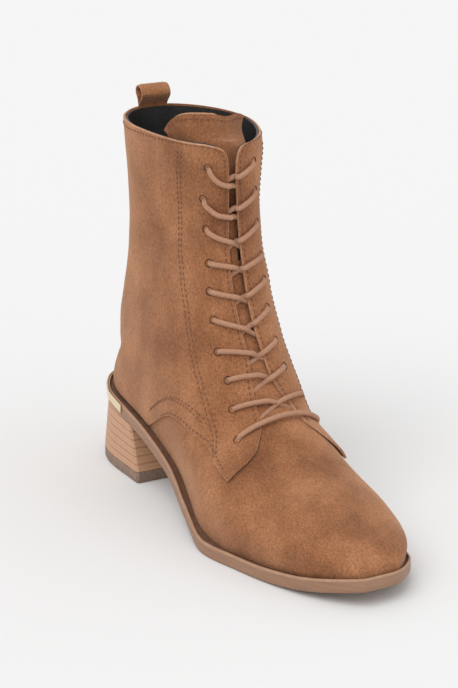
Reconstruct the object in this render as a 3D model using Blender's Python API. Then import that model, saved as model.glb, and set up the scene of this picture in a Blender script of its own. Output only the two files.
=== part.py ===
"""Block heel boot: a woman's suede lace-up ankle boot with a stacked heel, the right shoe.

Metres, +Z up, toe towards +X, inner (medial) side towards +Y. The origin is the middle of the heel's foot, on the
floor. The tables give sections and places as shares of the sizes below; lateral is the outer side of the foot.
"""

import math

import bmesh
import bpy
import numpy as np
from mathutils import Matrix, Vector

# Fit between pieces
CLEARANCE = 0.0003

# Sole
SOLE_LENGTH = 0.262
BALL_WIDTH = 0.086
SEAT_HEIGHT = 0.0383
TOE_SPRING = 0.0091
SOLE_THICKNESS = 0.0077
RIM_HEIGHT = 0.0012
RIM_WIDTH = 0.0014
LEDGE = 0.004
EDGE_ROUND = 0.0008

# Heel
HEEL_LENGTH = 0.0657
HEEL_WIDTH = 0.0626
HEEL_INSET = 0.0005
BREAST_SLANT = 0.0075
HEEL_ROUND = 0.64  # share of the heel's length over which its back is rounded
HEEL_POWER = 2.37  # roundness of the heel's back in plan
HEEL_FLAT = 0.35  # width of the flat at the very back, as a share of the next width
BREAST_CORNER = 0.0012
LIFT_HEIGHT = 0.007
STRIP_HEIGHT = 0.0052
STRIP_THICKNESS = 0.0006
STRIP_REACH = 0.0486

# Upper
VAMP_RISE = 0.0625
COLLAR_HEIGHT = 0.207
SHAFT_WIDTH = 0.067
WALL = 0.0014
QUARTER_STEP = 0.0012
QUARTER_BITE = 0.0010
BACK_STRIP_WIDTH = 0.015
BACK_STRIP_STEP = 0.0008
THROAT_GAP = 0.009
THROAT_LAP = 0.002
FOOT_UNDER_ROUND = 1.3  # exponent of the foot sections' curve below their widest place

# Tongue, insole and pull loop
TONGUE_THICKNESS = 0.0016
TONGUE_STAND = 0.0115
TONGUE_LEAN = 0.016
TONGUE_TOP = (0.35, 0.70, 0.92, 1.00)  # levels above the collar, of TONGUE_STAND
TONGUE_CORNERS = (0.75, 0.15)  # how far the lateral and medial corner drop, of TONGUE_STAND
INSOLE_THICKNESS = 0.002
LOOP_WIDTH = 0.018
LOOP_HEIGHT = 0.0125
LOOP_DEPTH = 0.0095

# Lace
EYELET_SPREAD = 0.017
EYELET_RADIUS = 0.0011
LACE_DIAMETER = 0.0027
LACE_SAG = 0.009

# Zip
ZIP_WIDTH = 0.0068
ZIP_PROUD = 0.0004
ZIP_SUNK = 0.0012
SLIDER_LENGTH = 0.013
SLIDER_WIDTH = 0.0094
SLIDER_THICKNESS = 0.0016
BRIDGE_WIDTH = 0.0016
BRIDGE_LENGTH = 0.0094
BRIDGE_HEIGHT = 0.0029
PULL_LENGTH = 0.0255
PULL_WIDTH = 0.0080
PULL_THICKNESS = 0.0013

SOLE_BACK = -HEEL_LENGTH / 2 - HEEL_INSET

# Sole outline: station from heel to toe (of SOLE_LENGTH), half widths (of BALL_WIDTH)
SOLE = [
    # station, lateral, medial
    (0.00, 0.041, 0.030),
    (0.04, 0.241, 0.226),
    (0.12, 0.350, 0.336),
    (0.25, 0.384, 0.345),
    (0.40, 0.395, 0.312),
    (0.52, 0.465, 0.362),
    (0.63, 0.528, 0.453),
    (0.74, 0.458, 0.540),
    (0.84, 0.371, 0.503),
    (0.92, 0.264, 0.414),
    (0.97, 0.164, 0.285),
    (1.00, 0.040, 0.105),
]

# Underside from the heel seat (of SEAT_HEIGHT) through the flat tread to the toe (of TOE_SPRING)
UNDERSIDE = [
    # station, of SEAT_HEIGHT, of TOE_SPRING
    (0.00, 1.000, 0.00),
    (0.12, 0.950, 0.00),
    (0.25, 0.849, 0.00),
    (0.34, 0.687, 0.00),
    (0.45, 0.399, 0.00),
    (0.55, 0.149, 0.00),
    (0.64, 0.000, 0.00),
    (0.75, 0.000, 0.00),
    (0.87, 0.000, 0.23),
    (1.00, 0.000, 1.00),
]

# Sections of the last over the foot. Feather and crest are stations, rise is the crest's height over the sole,
# side is its place across, bulge is how far each side stands over the feather line, widest is the share of the
# section's height where it does, and round is the exponent of the curve over the top.
FOOT = [
    # feather, crest, rise of VAMP_RISE, side, bulge lat, bulge med of BALL_WIDTH, widest, round lat, round med
    (0.985, 0.985, 0.006, 0.045, 0.000, 0.000, 0.50, 2.20, 2.20),
    (0.984, 0.984, 0.032, 0.045, 0.004, 0.004, 0.50, 2.20, 2.20),
    (0.981, 0.981, 0.080, 0.055, 0.006, 0.006, 0.50, 2.20, 2.20),
    (0.971, 0.970, 0.144, 0.065, 0.008, 0.008, 0.45, 2.25, 2.25),
    (0.952, 0.950, 0.224, 0.070, 0.012, 0.012, 0.42, 2.20, 2.25),
    (0.921, 0.921, 0.304, 0.070, 0.018, 0.018, 0.40, 2.10, 2.20),
    (0.879, 0.879, 0.400, 0.068, 0.025, 0.020, 0.38, 2.00, 2.15),
    (0.822, 0.822, 0.512, 0.060, 0.030, 0.020, 0.36, 1.90, 2.10),
    (0.753, 0.757, 0.616, 0.052, 0.030, 0.025, 0.34, 1.85, 2.10),
    (0.677, 0.692, 0.755, 0.050, 0.025, 0.050, 0.33, 1.80, 2.15),
    (0.593, 0.631, 0.912, 0.042, 0.020, 0.110, 0.33, 1.75, 2.20),
    (0.505, 0.582, 1.000, 0.033, 0.030, 0.150, 0.34, 1.75, 2.20),
]

# Sections up the shaft. They start on the feather line (spread 1, height 0), close round the heel (spread 0) and
# then end on the back seam. Heights are of COLLAR_HEIGHT, sides and widths of SHAFT_WIDTH.
SHAFT = [
    # back, spread, height, crest, height, crest side, back side, lateral, medial, widest, rounds: lat, med, under
    (0.4100, 1, 0.000, 0.543, 0.445, 0.022, 0.000, 0.530, 0.560, 0.35, 1.80, 2.25, 1.30),
    (0.3140, 1, 0.000, 0.514, 0.510, 0.010, 0.000, 0.512, 0.553, 0.36, 1.85, 2.30, 1.30),
    (0.2190, 1, 0.000, 0.492, 0.576, -0.003, 0.000, 0.490, 0.550, 0.38, 1.90, 2.35, 1.35),
    (0.1270, 1, 0.000, 0.479, 0.643, -0.018, 0.000, 0.465, 0.545, 0.40, 1.90, 2.40, 1.40),
    (0.0590, 1, 0.000, 0.471, 0.704, -0.028, 0.000, 0.440, 0.535, 0.42, 1.90, 2.40, 1.45),
    (0.0160, 1, 0.000, 0.465, 0.756, -0.036, 0.000, 0.415, 0.520, 0.43, 1.90, 2.40, 1.50),
    (0.0155, 0, 0.000, 0.464, 0.780, -0.039, 0.000, 0.402, 0.510, 0.43, 1.90, 2.40, 1.60),
    (0.0085, 0, 0.290, 0.463, 0.803, -0.042, 0.003, 0.390, 0.500, 0.44, 1.90, 2.40, 1.80),
    (0.0115, 0, 0.358, 0.463, 0.845, -0.048, 0.008, 0.367, 0.480, 0.45, 1.90, 2.40, 2.00),
    (0.0225, 0, 0.435, 0.463, 0.884, -0.054, 0.014, 0.358, 0.468, 0.45, 1.92, 2.38, 2.00),
    (0.0430, 0, 0.517, 0.464, 0.918, -0.059, 0.020, 0.370, 0.465, 0.45, 2.00, 2.35, 2.00),
    (0.0640, 0, 0.604, 0.465, 0.947, -0.063, 0.026, 0.393, 0.468, 0.45, 2.10, 2.30, 2.00),
    (0.0770, 0, 0.700, 0.467, 0.969, -0.066, 0.031, 0.418, 0.478, 0.45, 2.20, 2.20, 2.00),
    (0.0755, 0, 0.812, 0.469, 0.985, -0.069, 0.036, 0.437, 0.497, 0.45, 2.20, 2.10, 2.00),
    (0.0660, 0, 0.918, 0.471, 0.995, -0.072, 0.041, 0.450, 0.520, 0.45, 2.25, 1.95, 2.00),
    (0.0610, 0, 1.000, 0.472, 1.000, -0.074, 0.048, 0.463, 0.545, 0.45, 2.30, 1.75, 2.00),
]

# Rows are numbers of the sections above, from the toe, and parts of one lie between two sections.
SEAM_ROW = len(FOOT) + 6
RIM_ROW = len(FOOT) + len(SHAFT) - 1
THROAT_ROW = 11.0
QUARTER_ROW = 9.4
ZIP_END_PLAY = 0.2  # how much further the zip's slot goes, of the last step along it

# Front edges of the two quarters: distance from the crest along each row, of THROAT_GAP
FACING = [
    # row, lateral, medial
    (9.4, 3.20, 3.70),
    (9.5, 2.50, 3.10),
    (9.8, 1.85, 2.30),
    (10.1, 1.38, 1.70),
    (10.9, 0.92, 1.42),
    (11.7, 0.66, 0.56),
    (12.3, 0.47, 0.46),
    (15.0, 0.44, 0.40),
    (18.0, 0.33, 0.33),
    (22.5, 0.22, 0.26),
    (24.0, 0.34, 0.33),
    (25.2, 0.62, 0.50),
    (26.3, 1.15, 0.78),
    (27.0, 1.75, 1.15),
]

# Lower edge of each quarter, as a share of the way from the crest to the feather line
QUARTER_HEM = [
    # row, share
    (9.4, 0.54),
    (10.9, 0.52),
    (11.3, 0.55),
    (11.7, 0.60),
    (12.1, 0.63),
    (12.6, 0.70),
    (12.9, 0.80),
    (13.1, 0.90),
    (13.3, 0.985),
]

# Eyelet pairs, top pair first: row and distance from the crest (of EYELET_SPREAD) on each side
EYELETS = [
    # lateral row, lateral, medial row, medial
    (23.5, 0.84, 23.4, 0.90),
    (21.3, 1.14, 21.0, 1.04),
    (19.3, 1.04, 18.9, 1.08),
    (16.3, 0.98, 16.2, 1.20),
    (15.1, 1.05, 15.1, 1.12),
    (14.0, 1.06, 14.0, 1.00),
    (12.9, 1.16, 12.8, 0.98),
    (11.9, 1.12, 11.9, 1.02),
    (11.25, 1.22, 11.4, 1.66),
    (10.25, 1.54, 10.5, 1.80),
]

# Middle of the zip on the medial side: row and share of the way from the crest to the base
ZIP = [
    # row, share
    (26.8, 0.575),
    (25.5, 0.575),
    (24.1, 0.575),
    (22.2, 0.525),
    (20.1, 0.450),
    (18.0, 0.425),
    (15.9, 0.475),
    (14.8, 0.550),
    (13.9, 0.650),
]

# Tongue: half widths along each row on both sides (of THROAT_GAP), and how far it leans back (of TONGUE_LEAN)
TONGUE = [
    # row, lateral, medial, lean
    (11.6, 1.9, 2.2, 0.00),
    (13.0, 2.4, 2.5, 0.00),
    (17.0, 2.8, 2.7, 0.03),
    (22.0, 3.1, 2.8, 0.25),
    (25.0, 3.5, 2.8, 0.60),
    (27.0, 3.9, 3.0, 0.90),
]

# Pull loop seen from the side: outer and inner outline (depth of LOOP_DEPTH, height of LOOP_HEIGHT), from the
# foot of its tail round the back, over the top and down the front
LOOP_OUTER = [
    (0.12, -0.80), (0.06, -0.06), (-0.28, 0.18), (-0.66, 0.45), (-0.78, 0.68), (-0.70, 0.88),
    (-0.42, 1.00), (-0.10, 0.92), (0.12, 0.72), (0.22, 0.40), (0.26, 0.05), (0.27, -0.80),
]
LOOP_INNER = [
    (0.12, -0.02), (0.08, 0.06), (-0.16, 0.24), (-0.48, 0.50), (-0.62, 0.69), (-0.56, 0.81),
    (-0.40, 0.88), (-0.18, 0.82), (-0.02, 0.66), (0.07, 0.38), (0.11, 0.05), (0.13, -0.02),
]


def clear_scene():
    for item in list(bpy.data.objects):
        bpy.data.objects.remove(item, do_unlink=True)


def material(name, color, roughness, metallic=0.0):
    """Principled material with the part's colour."""
    made = bpy.data.materials.new(name)
    made.use_nodes = True
    shader = made.node_tree.nodes["Principled BSDF"]
    shader.inputs["Base Color"].default_value = (*color, 1.0)
    shader.inputs["Roughness"].default_value = roughness
    shader.inputs["Metallic"].default_value = metallic
    made.diffuse_color = (*color, 1.0)
    return made


def add_object(name, points, faces, finish=None, smooth_angle=40.0):
    """Mesh object from points and faces, smooth except at edges sharper than the angle."""
    mesh = bpy.data.meshes.new(name)
    mesh.from_pydata([tuple(map(float, point)) for point in points], [], faces)
    mesh.validate()
    mesh.shade_smooth()
    mesh.set_sharp_from_angle(angle=math.radians(smooth_angle))
    if finish:
        mesh.materials.append(finish)
    made = bpy.data.objects.new(name, mesh)
    bpy.context.scene.collection.objects.link(made)
    return made


def as_guide(item):
    """Cutters and joined pieces are kept in the file and not shown."""
    item.hide_render = True
    item.display_type = "WIRE"
    return item


def combine(item, others, operation, solver="EXACT"):
    for other in others:
        change = item.modifiers.new(other.name, "BOOLEAN")
        change.operation = operation
        change.object = as_guide(other)
        change.solver = solver


def smooth(knots, values, at):
    """Monotone cubic curve through rows of values at the knots, read at other places."""
    knots = np.asarray(knots, float)
    values = np.asarray(values, float)
    shape = values.shape[1:]
    values = values.reshape(len(knots), -1)
    step = np.diff(knots)[:, None]
    slope = np.diff(values, axis=0) / step
    before, after = slope[:-1], slope[1:]
    near, far = 2 * step[1:] + step[:-1], step[1:] + 2 * step[:-1]
    turning = before * after <= 0
    mean = near / np.where(turning, 1, before) + far / np.where(turning, 1, after)
    inner = np.where(turning, 0, (near + far) / np.where(turning, 1, mean))
    tangent = np.vstack([slope[:1], inner, slope[-1:]])
    at = np.clip(np.atleast_1d(np.asarray(at, float)), knots[0], knots[-1])
    left = np.clip(np.searchsorted(knots, at, side="right") - 1, 0, len(knots) - 2)
    width = step[left]
    t = (at - knots[left])[:, None] / width
    start, end = values[left], values[left + 1]
    result = (
        (2 * t**3 - 3 * t**2 + 1) * start
        + (t**3 - 2 * t**2 + t) * width * tangent[left]
        + (3 * t**2 - 2 * t**3) * end
        + (t**3 - t**2) * width * tangent[left + 1]
    )
    return result.reshape(-1, *shape)


def column(table, number):
    return [row[number] for row in table]


def read(table, at):
    """All columns of a table at other values of its first column."""
    return smooth(column(table, 0), [row[1:] for row in table], at)


# Sole surfaces


def station_x(station):
    return SOLE_BACK + np.asarray(station) * SOLE_LENGTH


def turn(station):
    """Angle that spreads stations evenly round the blunt ends of the sole."""
    return np.arccos(np.clip(1 - 2 * np.asarray(station, float), -1, 1))


def half_widths(station):
    """Lateral and medial half width of the sole."""
    shares = smooth(turn(column(SOLE, 0)), [row[1:] for row in SOLE], turn(station))
    return shares * BALL_WIDTH


def feather(station):
    """Half widths of the upper where it meets the sole."""
    width = half_widths(station)
    return width - LEDGE * np.minimum(1, width / (3 * LEDGE))


def underside(x):
    station = (np.asarray(x, float) - SOLE_BACK) / SOLE_LENGTH
    seat, toe = read(UNDERSIDE, station).T
    return seat * SEAT_HEIGHT + toe * TOE_SPRING


def sole_top(x):
    return underside(x) + SOLE_THICKNESS - RIM_HEIGHT


def seat_heights(x):
    """Height at which the upper's lower edge stands on the sole."""
    return sole_top(x) + 2 * CLEARANCE


def seat_height(x):
    return float(seat_heights(x)[0])


def outline(inset, stations, widths=None):
    """Ring of points in plan: lateral side from heel to toe, then back along the medial side."""
    if widths is None:
        widths = half_widths(stations)
    x = station_x(stations)
    ring = np.vstack([np.stack([x, -widths[:, 0]], 1), np.stack([x, widths[:, 1]], 1)[::-1]])
    along = np.roll(ring, -1, axis=0) - np.roll(ring, 1, axis=0)
    along /= np.linalg.norm(along, axis=1)[:, None]
    return ring + inset * np.stack([-along[:, 1], along[:, 0]], 1)


def stations_between(first, last, count):
    """Stations close together near the two blunt ends."""
    angles = np.linspace(turn(first), turn(last), count)
    return (1 - np.cos(angles)) / 2


def ring_solid(name, rings, finish, closed_ends=True, smooth_angle=40.0):
    """Closed solid through rings of equal length, from the lowest to the highest, filled from side to side."""
    count = len(rings[0])
    faces = []
    for level in range(len(rings) - 1):
        low, high = level * count, (level + 1) * count
        for i in range(count):
            j = (i + 1) % count
            faces.append((low + i, low + j, high + j, high + i))
    if closed_ends:
        top = (len(rings) - 1) * count
        for i in range(count // 2 - 1):
            a, b, c, d = i, i + 1, count - 2 - i, count - 1 - i
            faces.append((a, d, c, b))
            faces.append((top + a, top + b, top + c, top + d))
    return add_object(name, np.vstack(rings), faces, finish, smooth_angle)


def raised(ring, height):
    """Ring in plan lifted to a height that is a function of x."""
    return np.column_stack([ring, height(ring[:, 0])])


def make_outsole(finish):
    """Unit sole with a thin rim round a sunk top, flat under the tread and the heel seat's slope."""
    bend = np.linspace(0.55, 0.64, 5)
    stations = np.unique(np.concatenate([stations_between(0, 1, 39), column(UNDERSIDE, 0), bend]))
    rim = RIM_WIDTH

    def above(rise):
        return lambda x: underside(x) + rise

    rings = [
        raised(outline(EDGE_ROUND, stations), above(0)),
        raised(outline(0, stations), above(EDGE_ROUND)),
        raised(outline(EDGE_ROUND / 4, stations), above(SOLE_THICKNESS)),
        raised(outline(rim, stations), above(SOLE_THICKNESS)),
        raised(outline(rim + EDGE_ROUND / 2, stations), above(SOLE_THICKNESS - RIM_HEIGHT)),
    ]
    return ring_solid("outsole", rings, finish, smooth_angle=30)


# Heel


def heel_ring(height, count=13):
    """Plan of the heel block at a share of its height: a round back and a straight breast."""
    share = 1 - np.cos(np.linspace(0, math.pi / 2, count))
    foot_x = HEEL_LENGTH * (share - 0.5)
    end = np.clip(((HEEL_ROUND - 0.5) * HEEL_LENGTH - foot_x) / (HEEL_ROUND * HEEL_LENGTH), 0, 1)
    foot = HEEL_WIDTH / 2 * (1 - end**HEEL_POWER) ** (1 / HEEL_POWER)
    top_x = SOLE_BACK + HEEL_INSET + share * (HEEL_LENGTH - BREAST_SLANT)
    top = half_widths((top_x - SOLE_BACK) / SOLE_LENGTH) - HEEL_INSET
    x = foot_x + height * (top_x - foot_x)
    sides = []
    for side in (0, 1):
        width = foot + height * (top[:, side] - foot)
        width[0] = HEEL_FLAT * width[1]
        sides.append(width)
    corner_x = np.append(x[:-1], [x[-1] - BREAST_CORNER, x[-1]])
    lateral = np.append(sides[0][:-1], [sides[0][-1], sides[0][-1] - BREAST_CORNER])
    medial = np.append(sides[1][:-1], [sides[1][-1], sides[1][-1] - BREAST_CORNER])
    return np.vstack([np.column_stack([corner_x, -lateral]), np.column_stack([corner_x, medial])[::-1]])


def make_heel_block(finish):
    """Stacked block, a trapezoid from the side, whose top follows the heel seat."""
    levels = 4
    rings = []
    for level in range(levels + 1):
        share = level / levels
        ring = heel_ring(share)
        top = underside(ring[:, 0]) - CLEARANCE
        base = LIFT_HEIGHT + CLEARANCE
        rings.append(np.column_stack([ring, base + share * (top - base)]))
    return ring_solid("heel_block", rings, finish)


def make_heel_top_lift(finish):
    ring = heel_ring(0.0)
    centre = ring.mean(axis=0)
    eased = centre + (ring - centre) * (1 - EDGE_ROUND / HEEL_WIDTH)
    rings = [
        np.column_stack([eased, np.zeros(len(ring))]),
        np.column_stack([ring, np.full(len(ring), EDGE_ROUND / 2)]),
        np.column_stack([ring, np.full(len(ring), LIFT_HEIGHT)]),
    ]
    return ring_solid("heel_top_lift", rings, finish)


def make_heel_strip(finish):
    """Metal strip round the back of the sole's edge, with square ends."""
    stations = stations_between(0, STRIP_REACH / SOLE_LENGTH, 17)
    levels = []
    for inset in (-CLEARANCE - STRIP_THICKNESS, -CLEARANCE):
        line = outline_part(inset, stations)
        for rise in (SOLE_THICKNESS - STRIP_HEIGHT, SOLE_THICKNESS):
            levels.append(np.column_stack([line, underside(np.maximum(line[:, 0], SOLE_BACK)) + rise]))
    outer_low, outer_high, inner_low, inner_high = levels
    rings = np.stack([outer_low, outer_high, inner_high, inner_low], axis=1)
    return tube_solid("heel_strip", rings, finish)


def outline_part(inset, stations):
    """Open line in plan round the heel, from the medial end over the back to the lateral end."""
    margin = 1 + len(stations)
    longer = np.append(stations, stations[-1] + (stations[-1] - stations[-2]))
    ring = outline(inset, longer)
    return np.vstack([ring[margin + 1:], ring[:margin - 1]])


def tube_solid(name, rings, finish, smooth_angle=40.0):
    """Closed solid along a path: rings[i] is the outline at one place, and both ends are filled."""
    length, sides = rings.shape[:2]
    faces = []
    for i in range(length - 1):
        for j in range(sides):
            k = (j + 1) % sides
            faces.append((i * sides + j, i * sides + k, (i + 1) * sides + k, (i + 1) * sides + j))
    faces.append(tuple(reversed(range(sides))))
    faces.append(tuple(range((length - 1) * sides, length * sides)))
    made = add_object(name, rings.reshape(-1, 3), faces, finish, smooth_angle)
    face_outwards(made)
    return made


def face_outwards(item):
    """Turn all faces of a closed mesh the same way, out."""
    work = bmesh.new()
    work.from_mesh(item.data)
    bmesh.ops.recalc_face_normals(work, faces=work.faces)
    if work.calc_volume(signed=True) < 0:
        bmesh.ops.reverse_faces(work, faces=work.faces)
    work.to_mesh(item.data)
    work.free()


# Surface of the last


def section(base, crest, base_y, crest_y, spread, widths, widest, rounds, under_round, per_side):
    """Points of one section from the lateral base over the crest to the medial base, evenly spaced."""
    angles = np.linspace(0, math.pi / 2, 24)
    sine, cosine = np.sin(angles), np.cos(angles)
    halves = []
    for side in (0, 1):
        sign = 2 * side - 1
        width = widths[side]
        over = widest + (1 - widest) * cosine ** (2 / rounds[side])
        over_y = sign * crest_y + (width - sign * crest_y) * sine ** (2 / rounds[side])
        under = widest - widest * sine[1:] ** (2 / under_round)
        start = sign * base_y + spread[side]
        under_y = start + (width - start) * cosine[1:] ** (2 / under_round)
        up = np.concatenate([over, under])
        line = np.asarray(base) + up[:, None] * (np.asarray(crest) - base)
        line = np.column_stack([line[:, 0], sign * np.concatenate([over_y, under_y]), line[:, 1]])
        run = np.append(0, np.cumsum(np.linalg.norm(np.diff(line, axis=0), axis=1)))
        even = np.linspace(0, run[-1], per_side + 1)
        halves.append(np.column_stack([np.interp(even, run, line[:, axis]) for axis in range(3)]))
    return np.vstack([halves[0][::-1], halves[1][1:]])


def foot_section(row, per_side):
    back, front, rise, side, lateral, medial, widest, round_lateral, round_medial = row
    base_x, crest_x = station_x(back), station_x(front)
    base = (base_x, seat_height(base_x))
    crest = (crest_x, seat_height(crest_x) + rise * VAMP_RISE)
    spread = feather(back)[0]
    widths = spread + np.array([lateral, medial]) * BALL_WIDTH
    rounds = (round_lateral, round_medial)
    sides = (0.0, side * BALL_WIDTH)
    return section(base, crest, *sides, spread, widths, widest, rounds, FOOT_UNDER_ROUND, per_side)


def shaft_section(row, per_side):
    back, share, low, front, high, side, back_side, lateral, medial, widest, *rounds, under_round = row
    base_x = station_x(back)
    floor = seat_height(base_x)
    base = (base_x, low * COLLAR_HEIGHT if low else floor)
    crest = (station_x(front), high * COLLAR_HEIGHT)
    spread = feather(back)[0] * share
    widths = np.maximum(np.array([lateral, medial]) * SHAFT_WIDTH, spread + LEDGE / 8)
    sides = (back_side * SHAFT_WIDTH, side * SHAFT_WIDTH)
    return section(base, crest, *sides, spread, widths, widest, rounds, under_round, per_side)


def last_rows(rows, per_side=40):
    """Points of the last's outer surface on any rows, as an array of rows, columns and coordinates."""
    fixed = [foot_section(row, per_side) for row in FOOT]
    fixed += [shaft_section(row, per_side) for row in SHAFT]
    found = smooth(range(len(fixed)), np.array(fixed), rows)
    spread_rows = np.clip(np.asarray(rows, float), 0, SEAM_ROW)
    on_sole = spread_rows < SEAM_ROW
    found[on_sole, 0, 2] = seat_heights(found[on_sole, 0, 0])
    found[on_sole, -1, 2] = seat_heights(found[on_sole, -1, 0])
    return found


def last_points(rows, shares):
    """Points at shares from -1 (lateral base) over 0 (crest) to 1 (medial base); one list of shares a row."""
    found = last_rows(rows)
    marks = np.linspace(-1, 1, found.shape[1])
    shares = np.broadcast_to(shares, (len(found), np.shape(shares)[-1]))
    picked = [
        np.column_stack([np.interp(share, marks, line[:, axis]) for axis in range(3)])
        for line, share in zip(found, shares)
    ]
    return np.array(picked)


def last_normals(rows, shares):
    """Outward normals at the same places; on the back seam both sides share one."""
    rows = np.asarray(rows, float)
    shares = np.array(np.broadcast_to(shares, (len(rows), np.shape(shares)[-1])), float)
    step = 0.08
    fore = last_points(np.minimum(rows + step, RIM_ROW), shares) - last_points(np.maximum(rows - step, 0), shares)
    across_step = 0.03
    across = last_points(rows, np.minimum(shares + across_step, 1))
    across = across - last_points(rows, np.maximum(shares - across_step, -1))
    normals = -np.cross(fore, across)
    normals /= np.linalg.norm(normals, axis=2)[..., None] + 1e-12
    seam = rows >= SEAM_ROW
    both = (shares[:, 0] == -1) & (shares[:, -1] == 1) & seam
    mean = normals[both, 0] + normals[both, -1]
    mean /= np.linalg.norm(mean, axis=1)[:, None] + 1e-12
    normals[both, 0] = mean
    normals[both, -1] = mean
    return normals


def share_at(rows, distances):
    """Share on each row that lies a distance from the crest, negative on the lateral side."""
    found = last_rows(rows)
    middle = found.shape[1] // 2
    marks = np.linspace(-1, 1, found.shape[1])
    shares = []
    for line, distance in zip(found, np.broadcast_to(distances, len(found))):
        run = np.append(0, np.cumsum(np.linalg.norm(np.diff(line, axis=0), axis=1)))
        shares.append(np.interp(run[middle] + distance, run, marks))
    return np.array(shares)


def shifted(points, normals, offset):
    return points + normals * np.asarray(offset, float)[..., None]


def wall_solid(name, outer, inner, keep=None, seam_from=None, finish=None):
    """Closed wall between two grids of points. Cells left out of keep are openings, and from the seam row on the
    first and last column are one."""
    rows, columns = outer.shape[:2]
    number = np.arange(rows * columns).reshape(rows, columns)
    if seam_from is not None:
        number[seam_from:, -1] = number[seam_from:, 0]
    faces = []
    for i in range(rows - 1):
        for j in range(columns - 1):
            if keep is None or keep[i, j]:
                faces.append((number[i, j], number[i, j + 1], number[i + 1, j + 1], number[i + 1, j]))
    edges = {(face[k], face[(k + 1) % 4]) for face in faces for k in range(4)}
    total = rows * columns
    solid = [tuple(int(v) for v in face) for face in faces]
    solid += [tuple(int(v) + total for v in reversed(face)) for face in faces]
    solid += [
        (int(b), int(a), int(a) + total, int(b) + total)
        for a, b in sorted(edges)
        if (b, a) not in edges
    ]
    made = add_object(name, np.vstack([outer.reshape(-1, 3), inner.reshape(-1, 3)]), solid, finish)
    tidy_mesh(made)
    return made


def tidy_mesh(item):
    """Drop unused points, close up doubles and face outwards."""
    work = bmesh.new()
    work.from_mesh(item.data)
    bmesh.ops.remove_doubles(work, verts=work.verts, dist=1e-6)
    loose = [vertex for vertex in work.verts if not vertex.link_faces]
    bmesh.ops.delete(work, geom=loose, context="VERTS")
    work.to_mesh(item.data)
    work.free()
    face_outwards(item)


# Upper


def under_quarters(rows):
    """How far the vamp and lining lie under the quarters, growing smoothly where they begin."""
    start, full = QUARTER_ROW - 2.5, QUARTER_ROW + 0.4
    t = np.clip((np.asarray(rows) - start) / (full - start), 0, 1)
    return QUARTER_STEP * t * t * (3 - 2 * t)


def facing_shares(rows, lap=0.0):
    """Shares of the lateral and medial facing edges; a lap moves both away from the crest."""
    lateral, medial = read(FACING, rows).T * THROAT_GAP
    return share_at(rows, -lateral - lap), share_at(rows, medial + lap)


def make_vamp(finish):
    """Vamp and lined shaft as one wall, open along the throat, at the collar and underneath."""
    rows = np.concatenate([[0, 0.5], np.arange(1, 9), [8.8], quarter_rows()[:-1], [RIM_ROW - 0.03]])
    lateral, medial = facing_shares(np.maximum(rows, THROAT_ROW), THROAT_LAP)
    side, gap = 13, 6
    shares = np.array([
        np.concatenate([np.linspace(-1, low, side), np.linspace(low, high, gap)[1:-1], np.linspace(high, 1, side)])
        for low, high in zip(lateral, medial)
    ])
    points = last_points(rows, shares)
    normals = last_normals(rows, shares)
    sunk = np.broadcast_to(under_quarters(rows)[:, None], shares.shape)
    keep = np.ones((len(rows) - 1, shares.shape[1] - 1), bool)
    above = rows[:-1] >= THROAT_ROW
    keep[np.ix_(above, np.arange(side - 1, side - 2 + gap))] = False
    outer = shifted(points, normals, -sunk)
    inner = shifted(points, normals, -sunk - WALL)
    for edge in (0, -1):
        on_sole = rows <= SEAM_ROW
        for grid in (outer, inner):
            grid[on_sole, edge, 2] = seat_heights(grid[on_sole, edge, 0])
    for grid in (outer, inner):
        grid[0, :, 2] = seat_heights(grid[0, :, 0])
    seam = int(np.searchsorted(rows, SEAM_ROW))
    return wall_solid("upper", outer, inner, keep, seam, finish)


def quarter_rows():
    """Rows that the quarters and the wall under them share, so that their faces run side by side."""
    near_flap = [QUARTER_ROW, 9.5, 9.8, 10.1, 10.5, THROAT_ROW, 11.3, 11.7, 12.1, 12.6, 12.9, 13.1, 13.3]
    round_heel = [13.65, 14, 14.5, 15, 15.5, 16, 16.5, 17, 17.5]
    below_rim = [25.2, 26.0, 26.5, RIM_ROW]
    return np.concatenate([near_flap, round_heel, np.arange(SEAM_ROW, 25), below_rim])


def make_quarter(side):
    """One quarter with its facing and flap, a step proud of the vamp; it stops short of the back seam."""
    rows = quarter_rows()
    front = np.abs(facing_shares(rows)[side])
    hem = read(QUARTER_HEM, rows)[:, 0]
    shares = np.array([np.linspace(near, far, 13) for near, far in zip(front, hem)])
    if side == 0:
        shares = -shares[:, ::-1]
    points = last_points(rows, shares)
    normals = last_normals(rows, shares)
    inner = shifted(points, normals, np.full(shares.shape, -QUARTER_STEP - QUARTER_BITE))
    return wall_solid(("quarter_lateral", "quarter_medial")[side], points, inner)


def make_back_strip():
    """Narrow strip over the back seam, from the sole to the rim."""
    rows = np.concatenate([[SEAM_ROW], np.arange(SEAM_ROW + 0.4, RIM_ROW, 0.8), [RIM_ROW]])
    half = BACK_STRIP_WIDTH / 2
    found = last_rows(rows)
    grid, normal = [], []
    marks = np.linspace(-1, 1, found.shape[1])
    all_normals = last_normals(rows, marks)
    for points, normals in zip(found, all_normals):
        ring = np.vstack([points[:-1][::-1][:12][::-1], points[:12]])
        ring_normals = np.vstack([normals[:-1][::-1][:12][::-1], normals[:12]])
        run = np.append(0, np.cumsum(np.linalg.norm(np.diff(ring, axis=0), axis=1)))
        run -= run[12]
        at = np.linspace(-half, half, 5)
        grid.append(np.column_stack([np.interp(at, run, ring[:, axis]) for axis in range(3)]))
        normal.append(np.column_stack([np.interp(at, run, ring_normals[:, axis]) for axis in range(3)]))
    grid, normal = np.array(grid), np.array(normal)
    normal /= np.linalg.norm(normal, axis=2)[..., None]
    outer = shifted(grid, normal, np.full(grid.shape[:2], BACK_STRIP_STEP))
    inner = shifted(grid, normal, np.full(grid.shape[:2], -QUARTER_STEP - QUARTER_BITE))
    return wall_solid("back_strip", outer, inner)


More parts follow.
